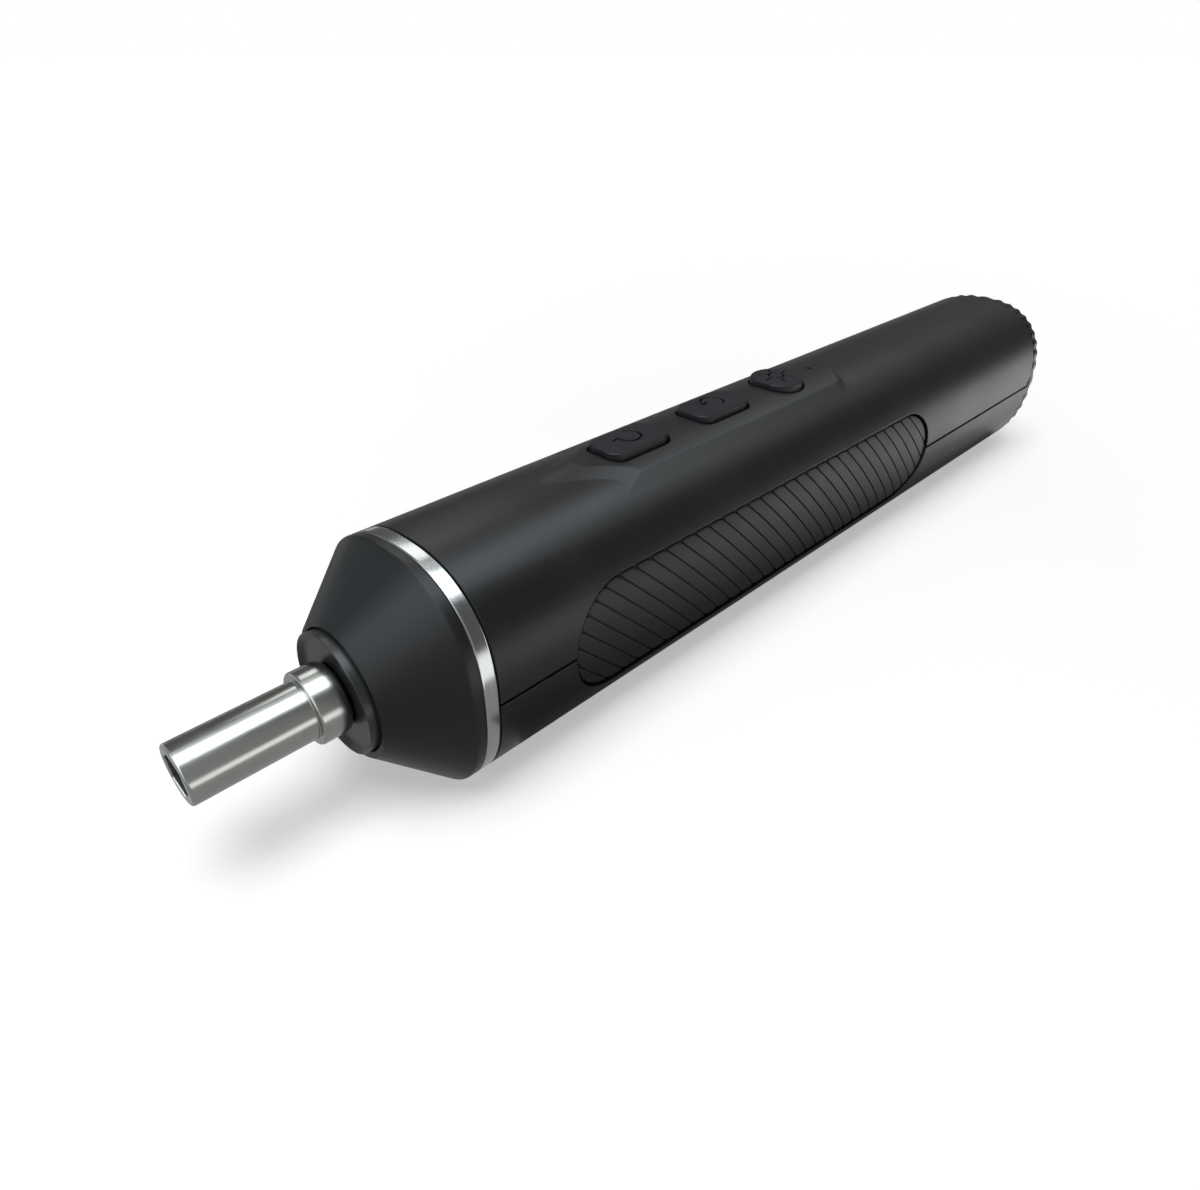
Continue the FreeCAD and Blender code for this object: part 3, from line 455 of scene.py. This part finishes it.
def fitting(slot):
    """Finish of a small fitting, made from its row of FITTINGS."""
    name, light, dark, metallic, roughness, spread, grain, cloud, deep = FITTINGS[slot]
    return finish(name, linear(light), linear(dark), roughness, spread, even(grain), deep, even(cloud),
                  Metallic=metallic)


def cover(material, *nodes):
    """Puts a finish on CAD pieces that keep their own shape."""
    for node in nodes:
        for holder in frame["nodes"][node].material_slots:
            holder.material = material


def sheet(name, points, material, wrap=True):
    """Object of quads between rows of points; wrap joins the last point of each row to its first."""
    rows, columns = points.shape[:2]
    here = np.arange(rows * columns).reshape(rows, columns)
    beside = np.roll(here, -1, axis=1)
    quads = np.stack([here[:-1], here[1:], beside[1:], beside[:-1]], axis=-1)
    quads = quads if wrap else quads[:, :-1]
    mesh = bpy.data.meshes.new(name)
    mesh.from_pydata(points.reshape(-1, 3).tolist(), [], quads.reshape(-1, 4).tolist())
    mesh.materials.append(material)
    piece = bpy.data.objects.new(name, mesh)
    bpy.context.scene.collection.objects.link(piece)
    return piece


def skin(name, points, material, node):
    """Closed skin over rows of points, each row running once around, that stands for a CAD piece."""
    piece = sheet(name, points, material)
    mesh = piece.data
    solid = bmesh.new()
    solid.from_mesh(mesh)
    bmesh.ops.remove_doubles(solid, verts=solid.verts, dist=MERGE)
    bmesh.ops.recalc_face_normals(solid, faces=solid.faces)
    solid.to_mesh(mesh)
    solid.free()
    mesh.shade_smooth()
    mesh.set_sharp_from_angle(angle=SHARP)
    even_light = piece.modifiers.new("Even shading", "WEIGHTED_NORMAL")
    even_light.mode = "FACE_AREA"
    even_light.keep_sharp = True
    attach(piece, frame["nodes"][node]["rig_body"])
    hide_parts(node)


def rounded(corners):
    """Profile through (a, b, radius) corners: straight runs joined by arcs of each corner's radius."""
    points = np.array([corner[:2] for corner in corners], float)
    parts = [points[:1]]
    for before, here, after, corner in zip(points, points[1:], points[2:], corners[1:]):
        radius = corner[2]
        to_before = (before - here) / np.linalg.norm(before - here)
        to_after = (after - here) / np.linalg.norm(after - here)
        if radius == 0:
            parts.append(here[None])
            continue
        half = math.acos(np.clip(to_before @ to_after, -1, 1)) / 2
        middle = (to_before + to_after) / np.linalg.norm(to_before + to_after)
        centre = here + middle * radius / math.sin(half)
        start = here + to_before * radius / math.tan(half) - centre
        end = here + to_after * radius / math.tan(half) - centre
        turn = np.linspace(0, 1, ARC_STEPS)[:, None]
        open_angle = math.pi - 2 * half
        parts.append(centre + (np.sin((1 - turn) * open_angle) * start + np.sin(turn * open_angle) * end)
                     / math.sin(open_angle))
    parts.append(points[-1:])
    return np.concatenate(parts)


def signed_power(value, exponent):
    """Power of the size of a value, with its sign kept."""
    return np.sign(value) * np.abs(value) ** exponent


def handle_loop(turn, inset, sizes):
    """Section of the handle: y, z of |y/w|^n + |z/h|^n = 1 at an angle, drawn in by inset, flat below."""
    high = np.where(np.sin(turn) >= 0, sizes.crown, sizes.keel) - inset
    y = (sizes.half_width - inset) * signed_power(np.cos(turn), 2 / sizes.power)
    z = high * signed_power(np.sin(turn), 2 / sizes.power)
    return y, np.maximum(z, inset - sizes.belly)


def handle_side(z, inset, sizes):
    """Half width of the handle's section at height z over the axis, drawn in by inset."""
    high = np.where(z >= 0, sizes.crown, sizes.keel) - inset
    return (sizes.half_width - inset) * (1 - np.abs(z / high) ** sizes.power) ** (1 / sizes.power)


def trim_band(handle):
    """Band round the handle: a rectangle with rounded outer edges carried round the section of the handle."""
    low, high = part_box("trim_ring")
    wall = handle.band_wall
    edge = handle.band_round
    profile = rounded([(low.x, wall, 0), (low.x, 0, edge), (high.x, 0, edge), (high.x, wall, 0),
                       (low.x, wall, 0)])
    turn = np.linspace(0, 2 * math.pi, BAND_COLUMNS, endpoint=False)
    y, z = handle_loop(turn[None], profile[:, 1:], handle)
    x = np.broadcast_to(profile[:, :1], y.shape)
    return np.stack([x, y, AXIS_Z + z], axis=-1)


def lathe(profile, hexagon=None, turn=0.0):
    """Profile of x and radius r turned about the tool axis: y = r cos(angle), z = r sin(angle).

    Where hexagon is 1 the radius follows a hexagon, r / cos(angle from the nearest flat).
    """
    angle = turn + np.linspace(0, 2 * math.pi, LATHE_COLUMNS, endpoint=False)
    radius = np.broadcast_to(profile[:, 1:], (len(profile), LATHE_COLUMNS))
    if hexagon is not None:
        from_flat = np.mod(angle - turn, math.pi / 3) - math.pi / 6
        radius = radius * (1 + hexagon[:, None] * (1 / np.cos(from_flat) - 1))
    x = np.broadcast_to(TIP_X + profile[:, :1], radius.shape)
    return np.stack([x, radius * np.cos(angle), AXIS_Z + radius * np.sin(angle)], axis=-1)


def sleeve(nose):
    """Plated sleeve: hexagon socket and magnet pocket inside, rounded tip, collar and neck outside."""
    flat = nose.hex_flats / 2
    mouth = flat + nose.lead_in
    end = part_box("bit_holder")[1].x - TIP_X
    rear = nose.collar_x + nose.collar_len
    edge = nose.broken_edge
    pocket = rounded([(nose.pocket_deep, 0, 0), (nose.pocket_deep, nose.pocket_r, edge),
                      (nose.socket_deep, nose.pocket_r, 0)])
    socket = rounded([(nose.socket_deep, flat, 0), (nose.lead_in, flat, edge), (0, mouth, 0)])
    outside = rounded([(0, PAST_CORNERS * mouth, 0), (0, nose.sleeve_r, nose.tip_round),
                       (nose.collar_x, nose.sleeve_r, edge), (nose.collar_x, nose.collar_r, nose.tip_round),
                       (rear, nose.collar_r, nose.collar_round), (rear, nose.neck_r, edge),
                       (end, nose.neck_r, edge), (end, nose.bore_r, edge),
                       (nose.bore_start, nose.bore_r, edge), (nose.bore_start, 0, 0)])
    hexagon = np.repeat([0.0, 1.0, 0.0], [len(pocket), len(socket), len(outside)])
    return lathe(np.concatenate([pocket, socket, outside]), hexagon, nose.hex_turn)


def light_ring(nose):
    """Light ring: flat rim, dish with a sloped wall and a skirt behind the rim, turned about the axis."""
    low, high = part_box("light_lens")
    face = low.x - TIP_X
    dish = face + nose.lens_dish
    plate = dish + nose.lens_plate
    back = high.x - TIP_X
    outer = high.y
    rim = outer - nose.lens_rim
    skirt = outer - nose.lens_skirt
    bore = nose.lens_bore
    edge = nose.broken_edge
    profile = rounded([(plate - edge, bore, 0), (dish, bore, edge), (dish, rim - nose.lens_slope, 2 * edge),
                       (face, rim, edge / 2), (face, outer, edge), (back, outer, edge), (back, skirt, 0),
                       (plate, skirt, 0), (plate, bore, 0), (plate - edge, bore, 0)])
    return lathe(profile)


def grip_reach(q, middle, half, high, slant, level):
    """Lower and upper height at which the slanted line x = q - slant (z - level) leaves the grip's outline.

    The outline is a bar with round ends: a rectangle and two discs, of which the widest crossing counts.
    """
    core = half - high
    lows = []
    highs = []
    for side in (-1, 1):
        offset = q + slant * level - (middle.x + side * core)
        a = 1 + slant ** 2
        b = slant * offset + middle.z
        root = b ** 2 - a * (offset ** 2 + middle.z ** 2 - high ** 2)
        reach = np.sqrt(np.maximum(root, 0))
        hits = root >= 0
        lows.append(np.where(hits, (b - reach) / a, np.inf))
        highs.append(np.where(hits, (b + reach) / a, -np.inf))
    left = (q - middle.x - core) / slant + level
    right = (q - middle.x + core) / slant + level
    bottom = np.maximum(left, middle.z - high)
    top = np.minimum(right, middle.z + high)
    crosses = top > bottom
    lows.append(np.where(crosses, bottom, np.inf))
    highs.append(np.where(crosses, top, -np.inf))
    return np.min(lows, axis=0), np.max(highs, axis=0)


def ribbed_grip(side, node, grip, handle):
    """Ribbed grip: stations along the slanted ribs, each running up the face and down the back.

    With a the distance to the outline, scaled so that the rim counts as an edge, and b the distance to the
    nearest groove's floor, d = c - |(max(c - a, 0), max(c - b, 0))| is the distance to a rib's edge with
    corners of radius c. The face lies at the handle's section drawn in by
    inset + deep (1 - sqrt(1 - (1 - d / edge)^2)).
    """
    low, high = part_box(node)
    middle = Vector(((low.x + high.x) / 2 - TIP_X, 0, (low.z + high.z) / 2 - AXIS_Z))
    half = (high.x - low.x) / 2
    tall = (high.z - low.z) / 2
    stretch = math.sqrt(1 + grip.slant ** 2)
    drop = grip.slant * (middle.z - grip.level)
    starts = middle.x - (half - tall) + drop - tall * stretch
    stops = middle.x + (half - tall) + drop + tall * stretch
    floor_end = grip.groove / 2
    edge_end = floor_end + grip.edge
    reach = grip.pitch / stretch / 2
    steps = np.concatenate([[0], np.linspace(floor_end, edge_end, RIB_STEPS),
                            np.linspace(edge_end, reach, RIB_STEPS)[1:]])
    phases = np.unique(np.concatenate([-steps, steps])) * stretch
    first = math.floor((starts - grip.first) / grip.pitch)
    last = math.ceil((stops - grip.first) / grip.pitch)
    ribs = np.arange(first, last + 1)
    q = np.unique(np.round((grip.first + grip.pitch * ribs[:, None] + phases).ravel(), STATION_DECIMALS))
    q = np.concatenate([[starts], q[(q > starts) & (q < stops)], [stops]])
    bottom, top = grip_reach(q, middle, half, tall, grip.slant, grip.level)
    climb = (1 - np.cos(np.linspace(0, math.pi, GRIP_ROWS))) / 2
    z = bottom[:, None] + (top - bottom)[:, None] * climb
    x = q[:, None] - grip.slant * (z - grip.level)
    inward = np.hypot(np.maximum(np.abs(x - middle.x) - (half - tall), 0), z - middle.z)
    to_outline = (tall - inward) * grip.edge / grip.rim
    phase = (q - grip.first) / grip.pitch
    to_groove = np.abs(phase - np.round(phase)) * grip.pitch / stretch - floor_end
    to_edge = grip.corner - np.hypot(np.maximum(grip.corner - to_outline, 0),
                                     np.maximum(grip.corner - to_groove, 0)[:, None])
    short = 1 - np.clip(to_edge / grip.edge, 0, 1)
    face = grip.inset + grip.groove_deep * (1 - np.sqrt(1 - short ** 2))
    back = np.full_like(z, grip.depth)
    inset = np.concatenate([face, back[:, ::-BACK_STEP]], axis=1)
    x = np.concatenate([x, x[:, ::-BACK_STEP]], axis=1)
    z = np.concatenate([z, z[:, ::-BACK_STEP]], axis=1)
    y = side * handle_side(z, inset, handle)
    return np.stack([TIP_X + x, y, AXIS_Z + z], axis=-1)


def to_segment(x, y, start, end):
    """Distance of points from a straight stroke."""
    run = np.subtract(end, start)
    share = np.clip(((x - start[0]) * run[0] + (y - start[1]) * run[1]) / (run @ run), 0, 1)
    return np.hypot(x - start[0] - share * run[0], y - start[1] - share * run[1])


def to_arc(x, y, radius, start, stop):
    """Distance of points from a round stroke about the origin, from one angle up to another."""
    middle = (start + stop) / 2
    away = np.mod(np.arctan2(y, x) - middle + math.pi, 2 * math.pi) - math.pi
    away = np.clip(away, (start - stop) / 2, (stop - start) / 2)
    return np.hypot(x - radius * np.cos(middle + away), y - radius * np.sin(middle + away))


def turn_arrow(tail, tip, keys):
    """Distance function of a turn arrow: a round stroke between two angles, two-barbed at its tip."""
    radius = keys.arrow_r
    way = math.copysign(math.pi / 2, tip - tail)
    end = radius * np.array([math.cos(tip), math.sin(tip)])
    barbs = [end - keys.arrow_barb * np.array([math.cos(tip + way + lean), math.sin(tip + way + lean)])
             for lean in np.radians(BARB_LEANS)]

    def distance(x, y):
        strokes = [to_arc(x, y, radius, min(tail, tip), max(tail, tip))]
        strokes += [to_segment(x, y, end, barb) for barb in barbs]
        return np.min(strokes, axis=0)

    return distance


def lamp_sign(keys):
    """Distance function of a lamp sign: a ring with six rays."""
    def distance(x, y):
        strokes = [np.abs(np.hypot(x, y) - keys.lamp_sign_r)]
        for angle in np.arange(RAYS) * 2 * math.pi / RAYS + math.radians(RAY_TURN):
            way = np.array([math.cos(angle), math.sin(angle)])
            strokes.append(to_segment(x, y, way * keys.ray_start, way * keys.ray_end))
        return np.min(strokes, axis=0)

    return distance


def key_outline(half_x, half_y, corner):
    """Outline function of a rounded rectangle: four arcs and the straights between, drawn in by an inset."""
    def outline(inset):
        parts = []
        for k, (sx, sy) in enumerate(((1, 1), (-1, 1), (-1, -1), (1, -1))):
            angle = np.linspace(0, math.pi / 2, CORNER_POINTS) + math.pi / 2 * k
            centre = np.array([sx * (half_x - corner), sy * (half_y - corner)])
            parts.append(centre + (corner - inset) * np.stack([np.cos(angle), np.sin(angle)], axis=-1))
        runs = []
        for k, part in enumerate(parts):
            share = np.linspace(0, 1, RUN_POINTS[k % 2] + 2)[1:-1, None]
            runs += [part, part[-1] + share * (parts[(k + 1) % 4][0] - part[-1])]
        return np.concatenate(runs)

    return outline


def lamp_outline(radius, flat):
    """Outline function of a disc with a flat front, drawn in by an inset."""
    def outline(inset):
        angle = np.linspace(0, 2 * math.pi, LAMP_POINTS, endpoint=False)
        x = np.maximum((radius - inset) * np.cos(angle), inset - flat)
        return np.stack([x, (radius - inset) * np.sin(angle)], axis=-1)

    return outline


def key_cap(node, centre_x, outline, sign, place, zone, keys):
    """Key: lip, drafted wall, bevelled top edge, then rings that close in on the engraved sign.

    Rings blend from the rim to a circle of radius zone about the sign, rim + (1 - t^2) (circle - rim), and on
    to its centre. With d the distance to the sign's strokes, the height is
    top - engrave clip((stroke / 2 - d) / engrave_wall, 0, 1).
    """
    low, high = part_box(node)
    top = high.z
    shelf = low.z + keys.lip_thick
    insets = (-keys.lip, -keys.lip, 0, 0, keys.draft, keys.draft + keys.bevel)
    levels = np.array([low.z, shelf, shelf, top - keys.rise, top - keys.bevel, top])
    walls = np.stack([outline(inset) for inset in insets])
    rim = walls[-1]
    around = np.arctan2(rim[:, 1] - place[1], rim[:, 0] - place[0])
    circle = place + zone * np.stack([np.cos(around), np.sin(around)], axis=-1)
    share = 1 - np.linspace(1, 0, BLEND_ROWS)[1:, None, None] ** 2
    blend = rim + share * (circle - rim)
    close = np.linspace(1, 0, SIGN_ROWS)[1:, None, None]
    rings = place + close * (circle - place)
    deck = np.concatenate([blend, rings])
    away = sign(deck[..., 0] - place[0], deck[..., 1] - place[1])
    stroke = np.clip((keys.stroke / 2 - away) / keys.engrave_wall, 0, 1)
    rows = np.concatenate([np.zeros((1,) + rim.shape), walls, deck])
    height = np.empty(rows.shape[:2])
    height[0] = low.z
    height[1:1 + len(levels)] = levels[:, None]
    height[1 + len(levels):] = top - keys.engrave * stroke
    return np.stack([centre_x + rows[..., 0], rows[..., 1], height], axis=-1)


class SCREWDRIVER_OT_shells(bpy.types.Operator):
    """Finishes the two handle halves, the cone and the fluted tail"""

    bl_idname = "screwdriver.shells"
    bl_label = "Shells"

    def execute(self, context):
        shell = moulded_abs(context.scene.screwdriver_tints)
        cover(shell, "upper_shell", "lower_shell", "nose_cone", "tail_cap")
        return {"FINISHED"}


class SCREWDRIVER_OT_nose(bpy.types.Operator):
    """Makes the plated sleeve and the smoked light ring"""

    bl_idname = "screwdriver.nose"
    bl_label = "Nose"

    def execute(self, context):
        tints = context.scene.screwdriver_tints
        nose = context.scene.screwdriver_nose
        skin("plated_sleeve", sleeve(nose), plated_steel(tints), "bit_holder")
        skin("smoked_light_ring", light_ring(nose), smoked_polycarbonate(tints), "light_lens")
        return {"FINISHED"}


class SCREWDRIVER_OT_band(bpy.types.Operator):
    """Makes the bright band between cone and handle"""

    bl_idname = "screwdriver.band"
    bl_label = "Trim band"

    def execute(self, context):
        points = trim_band(context.scene.screwdriver_handle)
        material = turned_aluminium(context.scene.screwdriver_tints)
        skin("bright_band", points, material, "trim_ring")
        return {"FINISHED"}


class SCREWDRIVER_OT_grips(bpy.types.Operator):
    """Makes the two ribbed rubber grips"""

    bl_idname = "screwdriver.grips"
    bl_label = "Grips"

    def execute(self, context):
        rubber = moulded_rubber(context.scene.screwdriver_tints)
        grip = context.scene.screwdriver_grip
        handle = context.scene.screwdriver_handle
        for side, name in ((-1, "left"), (1, "right")):
            points = ribbed_grip(side, name + "_grip", grip, handle)
            skin(name + "_ribbed_grip", points, rubber, name + "_grip")
        return {"FINISHED"}


class SCREWDRIVER_OT_keys(bpy.types.Operator):
    """Makes the two turn keys and the lamp key with their engraved signs"""

    bl_idname = "screwdriver.keys"
    bl_label = "Keys"

    def execute(self, context):
        keys = context.scene.screwdriver_keys
        material = moulded_key(context.scene.screwdriver_tints)
        for name, (tail, tip) in ARROWS.items():
            node = name + "_button"
            low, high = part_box(node)
            half = (high - low) / 2
            outline = key_outline(half.x - keys.lip, half.y - keys.lip, keys.corner)
            sign = turn_arrow(math.radians(tail), math.radians(tip), keys)
            place = np.array([keys.arrow_x, keys.sign_aside])
            points = key_cap(node, (low.x + high.x) / 2, outline, sign, place, keys.arrow_zone, keys)
            skin(name + "_key", points, material, node)
        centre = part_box("lamp_button")[1].x - keys.lamp_r - keys.lip
        outline = lamp_outline(keys.lamp_r, keys.lamp_flat)
        place = np.array([keys.lamp_sign_x, keys.sign_aside])
        points = key_cap("lamp_button", centre, outline, lamp_sign(keys), place, keys.lamp_zone, keys)
        skin("lamp_key", points, material, "lamp_button")
        return {"FINISHED"}


class SCREWDRIVER_OT_works(bpy.types.Operator):
    """Finishes the pieces inside and the small fittings"""

    bl_idname = "screwdriver.works"
    bl_label = "Works and fittings"

    def execute(self, context):
        cover(smoked_acrylic(), "light_pipe")
        finishes = {slot: fitting(slot) for slot in FITTINGS}
        for node in frame["nodes"].values():
            for holder in node.material_slots:
                if holder.material.name in finishes:
                    holder.material = finishes[holder.material.name]
        return {"FINISHED"}


def seen_rays(tree):
    """1 for camera, glossy and transmitted rays, 0 for the rays that light the object."""
    path = add(tree, "ShaderNodeLightPath").outputs
    some = add(tree, "ShaderNodeMath", {"operation": "MAXIMUM"}, i0=path["Is Camera Ray"],
               i1=path["Is Glossy Ray"])
    return add(tree, "ShaderNodeMath", {"operation": "MAXIMUM"}, i0=some.outputs[0],
               i1=path["Is Transmission Ray"]).outputs[0]


def plain_floor(stage, tints):
    """Large pale disc under the object: rings of growing radius about the origin."""
    radius = stage.floor_r * np.linspace(0, 1, FLOOR_RINGS) ** 2
    angle = np.linspace(0, 2 * math.pi, FLOOR_COLUMNS, endpoint=False)
    x = radius[:, None] * np.cos(angle)
    y = radius[:, None] * np.sin(angle)
    points = np.stack([x, y, np.full_like(x, CAD_BOX[0][2])], axis=-1)
    piece = sheet("floor", points, floor_paper(stage, tints))


def floor_paper(stage, tints):
    """Matt white paper: keeps the soft shadow and melts into a white background far away."""
    material = blank("Matt paper floor")
    tree = material.node_tree
    place = add(tree, "ShaderNodeTexCoord").outputs["Object"]
    away = add(tree, "ShaderNodeVectorMath", {"operation": "LENGTH"}, i0=place)
    glow = add(tree, "ShaderNodeMapRange", Value=away.outputs["Value"], From_Min=stage.floor_near,
               From_Max=stage.floor_far, To_Min=stage.floor_dim, To_Max=stage.floor_glow)
    seen = add(tree, "ShaderNodeMath", {"operation": "MULTIPLY"}, i0=glow.outputs["Result"],
               i1=seen_rays(tree))
    surface = add(tree, "ShaderNodeBsdfPrincipled", Roughness=1.0, Base_Color=tints.floor,
                  Specular_IOR_Level=0.0, Emission_Color=(*WHITE, 1), Emission_Strength=seen.outputs[0])
    add(tree, "ShaderNodeOutputMaterial", Surface=surface.outputs["BSDF"])
    return material


def card(name, points, glow, wrap=False, colour=WHITE):
    """Evenly glowing sheet that only reflections show."""
    # This material also draws the painted shade of the mats under the tool
    material = blank("Evenly lit cloth")
    tree = material.node_tree
    shine = add(tree, "ShaderNodeEmission", Color=(*colour, 1), Strength=glow)
    add(tree, "ShaderNodeOutputMaterial", Surface=shine.outputs["Emission"])
    piece = sheet(name, points, material, wrap)
    piece.visible_camera = False
    piece.visible_diffuse = False
    piece.visible_shadow = False
    piece.visible_transmission = False


def apron(ends, inner, outer, lift):
    """Flat sheet on the floor between two borders, each given as its y at the same x stations."""
    y = np.stack([np.broadcast_to(inner, len(ends)), np.broadcast_to(outer, len(ends))])
    return np.stack(np.broadcast_arrays(ends, y, CAD_BOX[0][2] + lift), axis=-1)


def surroundings(stage):
    """Sheets that the tool mirrors: grey cloth all round with paler cards before it, and mats and strips.

    The cards stand before the front and the sides of the cloth. The grey mat under the tool has a dark
    middle, a lit strip on its left and a dim strip on its right.
    """
    level = CAD_BOX[0][2]
    x = stage.wall_x * np.array([-1, 1, 1, -1])
    y = stage.wall_y * np.array([-1, -1, 1, 1])
    wall = np.stack(np.broadcast_arrays(x, y, np.array([[level], [level + stage.wall_high]])), axis=-1)
    card("grey_cloth", wall, stage.cloth_glow, wrap=True)
    side = stage.wall_y - CARD_GAP
    far = -stage.front_far
    for name, x, y, low, high, glow, colour in (
            ("front", (far, far), (-side, side), stage.front_low, stage.wall_high, stage.front_glow, COOL),
            ("foot", (far, far), (-side, side), 0, stage.front_low, stage.foot_glow, WHITE),
            ("left", (far, stage.left_stop), (-side, -side), 0, stage.wall_high, stage.left_glow, WHITE),
            ("right", (far, stage.right_stop), (side, side), 0, stage.wall_high, stage.right_glow, COOL)):
        upright = level + np.array([[low], [high]])
        face = np.stack(np.broadcast_arrays(np.array(x), np.array(y), upright), axis=-1)
        card(name + "_card", face, glow, colour=colour)
    front, rear = CAD_BOX[0][0], CAD_BOX[1][0]
    near, wide = stage.strip_near, stage.strip_far
    # Painted shade: a grey sheet on the floor, seen only in reflections, for the floor lying in the tool's
    # shadow
    ends = np.array([front - wide, front + near, rear])
    half = np.array([wide, near, stage.strip_rear])
    card("grey_mat", apron(ends, -half, half, MAT_LIFT), stage.floor_shade_glow)
    # Painted shade: a darker middle for the tool's deeper shadow close to the handle
    ends = np.array([front + stage.shade_start, rear])
    half = np.array([stage.shade_front, stage.shade_rear])
    card("dark_mat", apron(ends, -half, half, 2 * MAT_LIFT), stage.shade_glow)
    ends = np.array([front, front + near, rear, stage.strip_stop])
    half = np.array([near, near, stage.strip_rear, stage.strip_rear])
    for side, name, glow in ((-1, "lit_strip", stage.strip_glow), (1, "dim_strip", stage.dim_glow)):
        card(name, apron(ends, side * half, side * wide, 3 * MAT_LIFT), glow)


def area_lamp(name, place, aim, size_x, size_y, radiance, colour):
    """Rectangular softbox that shines with the given radiance."""
    lamp = bpy.data.lights.new(name, "AREA")
    lamp.shape = "RECTANGLE"
    lamp.size = size_x
    lamp.size_y = size_y
    lamp.energy = radiance * size_x * size_y * math.pi
    lamp.color = colour
    holder = bpy.data.objects.new(name, lamp)
    holder.location = place
    holder.rotation_euler = (Vector(aim) - Vector(place)).to_track_quat("-Z", "Y").to_euler()
    bpy.context.scene.collection.objects.link(holder)
    return holder


def white_room(stage):
    """World: white to the eye and in reflections, dimmer as a light on the object."""
    world = bpy.data.worlds.new("White room")
    world.use_nodes = True
    tree = world.node_tree
    tree.nodes.clear()
    shown = add(tree, "ShaderNodeBackground", Color=(*WHITE, 1), Strength=1.0)
    shines = add(tree, "ShaderNodeBackground", Color=(*WHITE, 1), Strength=stage.room_light)
    mix = add(tree, "ShaderNodeMixShader", i0=seen_rays(tree), i1=shines.outputs[0], i2=shown.outputs[0])
    add(tree, "ShaderNodeOutputWorld", Surface=mix.outputs[0])
    bpy.context.scene.world = world


class SCREWDRIVER_OT_stage(bpy.types.Operator):
    """Sets up the floor, the lamps, the white room and the camera"""

    bl_idname = "screwdriver.stage"
    bl_label = "Stage"

    def execute(self, context):
        stage = context.scene.screwdriver_stage
        plain_floor(stage, context.scene.screwdriver_tints)
        surroundings(stage)
        box = area_lamp("overhead_softbox", (stage.box_x, stage.box_aside, stage.box_high),
                        (stage.box_x, stage.box_aside, 0), stage.box_long, stage.box_wide,
                        stage.box_glow, COOL)
        box.visible_diffuse = False
        rear_x = stage.box_x + (stage.box_long + stage.rear_long) / 2
        rear = area_lamp("rear_softbox", (rear_x, stage.rear_aside, stage.box_high),
                         (rear_x, stage.rear_aside, 0), stage.rear_long, stage.rear_wide,
                         stage.rear_glow, COOL)
        rear.visible_diffuse = False
        side = area_lamp("side_softbox", stage.side_box, (0, 0, AXIS_Z), stage.side_size, stage.side_size,
                         stage.side_glow, WHITE)
        side.visible_diffuse = False
        key = area_lamp("key_lamp", (stage.key_x, stage.key_y, stage.box_high), (0, 0, 0),
                        stage.key_size, stage.key_size, stage.key_glow, WHITE)
        key.visible_glossy = False
        white_room(stage)
        camera = bpy.data.cameras.new("camera")
        camera.sensor_fit = "HORIZONTAL"
        camera.sensor_width = SENSOR
        camera.lens = SENSOR * stage.focal_px / PICTURE_PX
        camera.clip_start, camera.clip_end = CLIP
        holder = bpy.data.objects.new("camera", camera)
        holder.location = stage.camera
        holder.rotation_euler = Vector(stage.aim).to_track_quat("-Z", "Y").to_euler()
        context.scene.collection.objects.link(holder)
        context.scene.camera = holder
        context.scene.view_settings.view_transform = "Standard"
        return {"FINISHED"}


STEPS = (SCREWDRIVER_OT_shells, SCREWDRIVER_OT_nose, SCREWDRIVER_OT_band, SCREWDRIVER_OT_grips,
         SCREWDRIVER_OT_keys, SCREWDRIVER_OT_works, SCREWDRIVER_OT_stage)
GROUPS = {"handle": HandleSizes, "nose": NoseSizes, "grip": GripSizes, "keys": KeySizes, "tints": Tints,
          "stage": StageSizes}


class SCREWDRIVER_PT_panel(bpy.types.Panel):
    """Sidebar panel with one button for each step"""

    bl_idname = "SCREWDRIVER_PT_panel"
    bl_label = "Cordless screwdriver"
    bl_space_type = "VIEW_3D"
    bl_region_type = "UI"
    bl_category = "Screwdriver"

    def draw(self, context):
        for step in STEPS:
            self.layout.operator(step.bl_idname)
        for name, group in GROUPS.items():
            column = self.layout.column(heading=group.__doc__)
            for prop in group.__annotations__:
                column.prop(getattr(context.scene, "screwdriver_" + name), prop)


def register():
    for name, group in GROUPS.items():
        bpy.utils.register_class(group)
        setattr(bpy.types.Scene, "screwdriver_" + name, PointerProperty(type=group))
    for item in STEPS + (SCREWDRIVER_PT_panel,):
        bpy.utils.register_class(item)


def unregister():
    for item in (SCREWDRIVER_PT_panel,) + STEPS[::-1]:
        bpy.utils.unregister_class(item)
    for name, group in GROUPS.items():
        delattr(bpy.types.Scene, "screwdriver_" + name)
        bpy.utils.unregister_class(group)


def main():
    register()
    for step in STEPS:
        group, action = step.bl_idname.split(".")
        getattr(getattr(bpy.ops, group), action)()


if __name__ == "__main__":
    main()
